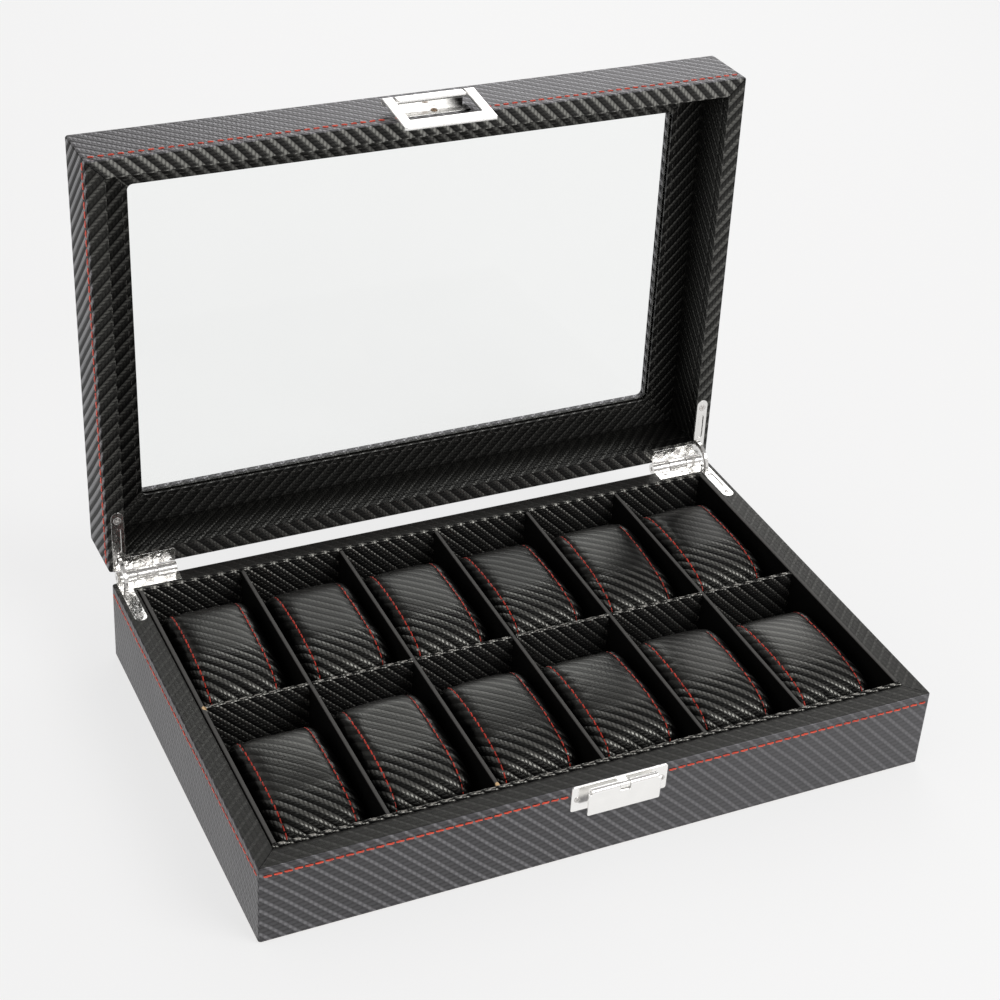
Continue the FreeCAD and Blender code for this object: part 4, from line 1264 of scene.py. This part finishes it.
def felt_pad():
    """Two grids joined round the edge; the lower one is wavy, the edge slightly ragged."""
    rng = np.random.default_rng(7)
    wave_x, wave_y = rng.uniform(0.15, 0.6, 8), rng.uniform(0.15, 0.6, 8)
    phase = rng.uniform(0, 6.28, 8)
    verts, faces = [], []
    for lower in (True, False):
        for y in np.linspace(-FELT_Y, FELT_Y, FELT_NY):
            for x in np.linspace(-FELT_X, FELT_X, FELT_NX):
                inset = min(FELT_X - abs(x), FELT_Y - abs(y))
                r = 0.35 * max(0.0, 1 - inset / FELT_EDGE)
                wave = sum(math.sin(wave_x[q] * x + wave_y[q] * y + phase[q])
                           for q in range(8)) / 8
                px, py = x, y
                if inset < FELT_EDGE and abs(x) > 140:
                    px = x - math.copysign(r * 0.6, x)
                if inset < FELT_EDGE and abs(y) > 86:
                    py = y - math.copysign(r * 0.6, y)
                z = max(0.0, wave) * 0.06 + r if lower else FELT_TOP - r * 0.4
                if inset < 0.01:
                    px += math.sin(y * 3.1 + 2 * x) * 0.12
                    py += math.sin(x * 2.7 + y) * 0.12
                verts.append((px * MM, py * MM, z * MM))
    nx, ny = FELT_NX, FELT_NY
    n = nx * ny
    for j in range(ny - 1):
        for i in range(nx - 1):
            a = j * nx + i
            faces.append((a, a + nx, a + nx + 1, a + 1))
            faces.append((n + a, n + a + 1, n + a + nx + 1, n + a + nx))
    ring = ([i for i in range(nx - 1)] + [j * nx + nx - 1 for j in range(ny - 1)]
            + [(ny - 1) * nx + i for i in range(nx - 1, 0, -1)]
            + [j * nx for j in range(ny - 1, 0, -1)])
    for a, b in zip(ring, ring[1:] + ring[:1]):
        faces.append((a, b, n + b, n + a))
    pad = mesh_object("felt_sheet", verts, faces, "felt", "base")
    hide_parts("base_felt_pad")


felt_pad()

# ------------------------------------------------------------------ stage, light, camera
# name, place and target (m), size (m), power (W); a light of no power is left out of the render
SOFTBOXES = (
    ("softbox_top", (0.0, 0.05, 0.95), (0, 0, 0.0), (0.9, 0.7), 0.0),
    ("softbox_back", (0.50, 0.95, 0.75), (0, 0.05, 0.1), (0.75, 0.6), 2.88),
    ("softbox_left", (-1.15, 0.1, 0.55), (0, 0, 0.08), (0.8, 0.6), 1.2),
    ("softbox_key", (0.50, -0.85, 0.88), (0, 0, 0.06), (0.8, 0.5), 6.5),
    ("softbox_right", (1.15, -0.1, 0.6), (0, 0, 0.08), (0.8, 0.6), 0.0),
)
FLOOR_HALF = 6.0                        # m
FLOOR_GLOW, FLOOR_GREY = 0.705, 0.255   # own light and diffuse reflectance
HORIZON, ZENITH = 0.85, 0.44            # brightness of the world
CAMERA_AT = (-345.01, -658.65, 598.32)
CAMERA_YAW, CAMERA_PITCH, CAMERA_ROLL = -26.84, -33.36, 4.03    # degrees


def floor():
    mesh = bpy.data.meshes.new("floor")
    s = FLOOR_HALF
    mesh.from_pydata([(-s, -s, 0), (s, -s, 0), (s, s, 0), (-s, s, 0)], [], [(0, 1, 2, 3)])
    sheet = new_object("floor", mesh)
    paper, tree, output = empty_material("floor_paper")
    glow = node(tree, "ShaderNodeEmission", {0: (1.0, 1.0, 1.0, 1), 1: FLOOR_GLOW})
    matt = node(tree, "ShaderNodeBsdfDiffuse", {0: (FLOOR_GREY, FLOOR_GREY, FLOOR_GREY, 1)})
    both = node(tree, "ShaderNodeAddShader", {0: glow.outputs[0], 1: matt.outputs[0]})
    tree.links.new(both.outputs[0], output.inputs[0])
    mesh.materials.append(paper)


def world():
    studio = bpy.data.worlds.new("studio")
    bpy.context.scene.world = studio
    studio.use_nodes = True
    tree = studio.node_tree
    tree.nodes.clear()
    output = node(tree, "ShaderNodeOutputWorld")
    z = split(tree, node(tree, "ShaderNodeTexCoord").outputs["Generated"])[2]
    up = z.rise(0.08, 0.45)
    level = up * ZENITH + (1.0 - up) * HORIZON
    sky = node(tree, "ShaderNodeBackground", {0: (1.0, 0.985, 0.98, 1), 1: level})
    tree.links.new(sky.outputs[0], output.inputs[0])


def softbox(name, place, target, size, power):
    light = bpy.data.lights.new(name, "AREA")
    light.shape = "RECTANGLE"
    light.size, light.size_y = size
    light.energy = power
    box = new_object(name, light)
    box.location = place
    aim = Vector(target) - Vector(place)
    box.rotation_euler = aim.to_track_quat("-Z", "Y").to_euler()
    box.visible_camera = False
    box.hide_render = power <= 0


def camera():
    lens = bpy.data.cameras.new("camera")
    lens.sensor_width = 36.0
    lens.lens = 77.62
    lens.clip_start, lens.clip_end = 0.01, 50
    made = new_object("camera", lens)
    yaw, pitch, roll = (math.radians(a) for a in (CAMERA_YAW, CAMERA_PITCH, CAMERA_ROLL))
    ahead = Vector((-math.sin(yaw) * math.cos(pitch), math.cos(yaw) * math.cos(pitch),
                    math.sin(pitch)))
    level_right = Vector((math.cos(yaw), math.sin(yaw), 0))
    level_up = level_right.cross(ahead)
    right = math.cos(roll) * level_right + math.sin(roll) * level_up
    up = -math.sin(roll) * level_right + math.cos(roll) * level_up
    turn = Matrix((right, up, -ahead)).transposed().to_4x4()
    made.matrix_world = Matrix.Translation(Vector(CAMERA_AT) * MM) @ turn
    bpy.context.scene.camera = made


floor()
world()
for settings in SOFTBOXES:
    softbox(*settings)
view = bpy.context.scene.view_settings
view.view_transform = "Standard"
view.look = "None"
view.exposure = 0.0
view.gamma = 1.0
camera()

bpy.context.view_layer.update()
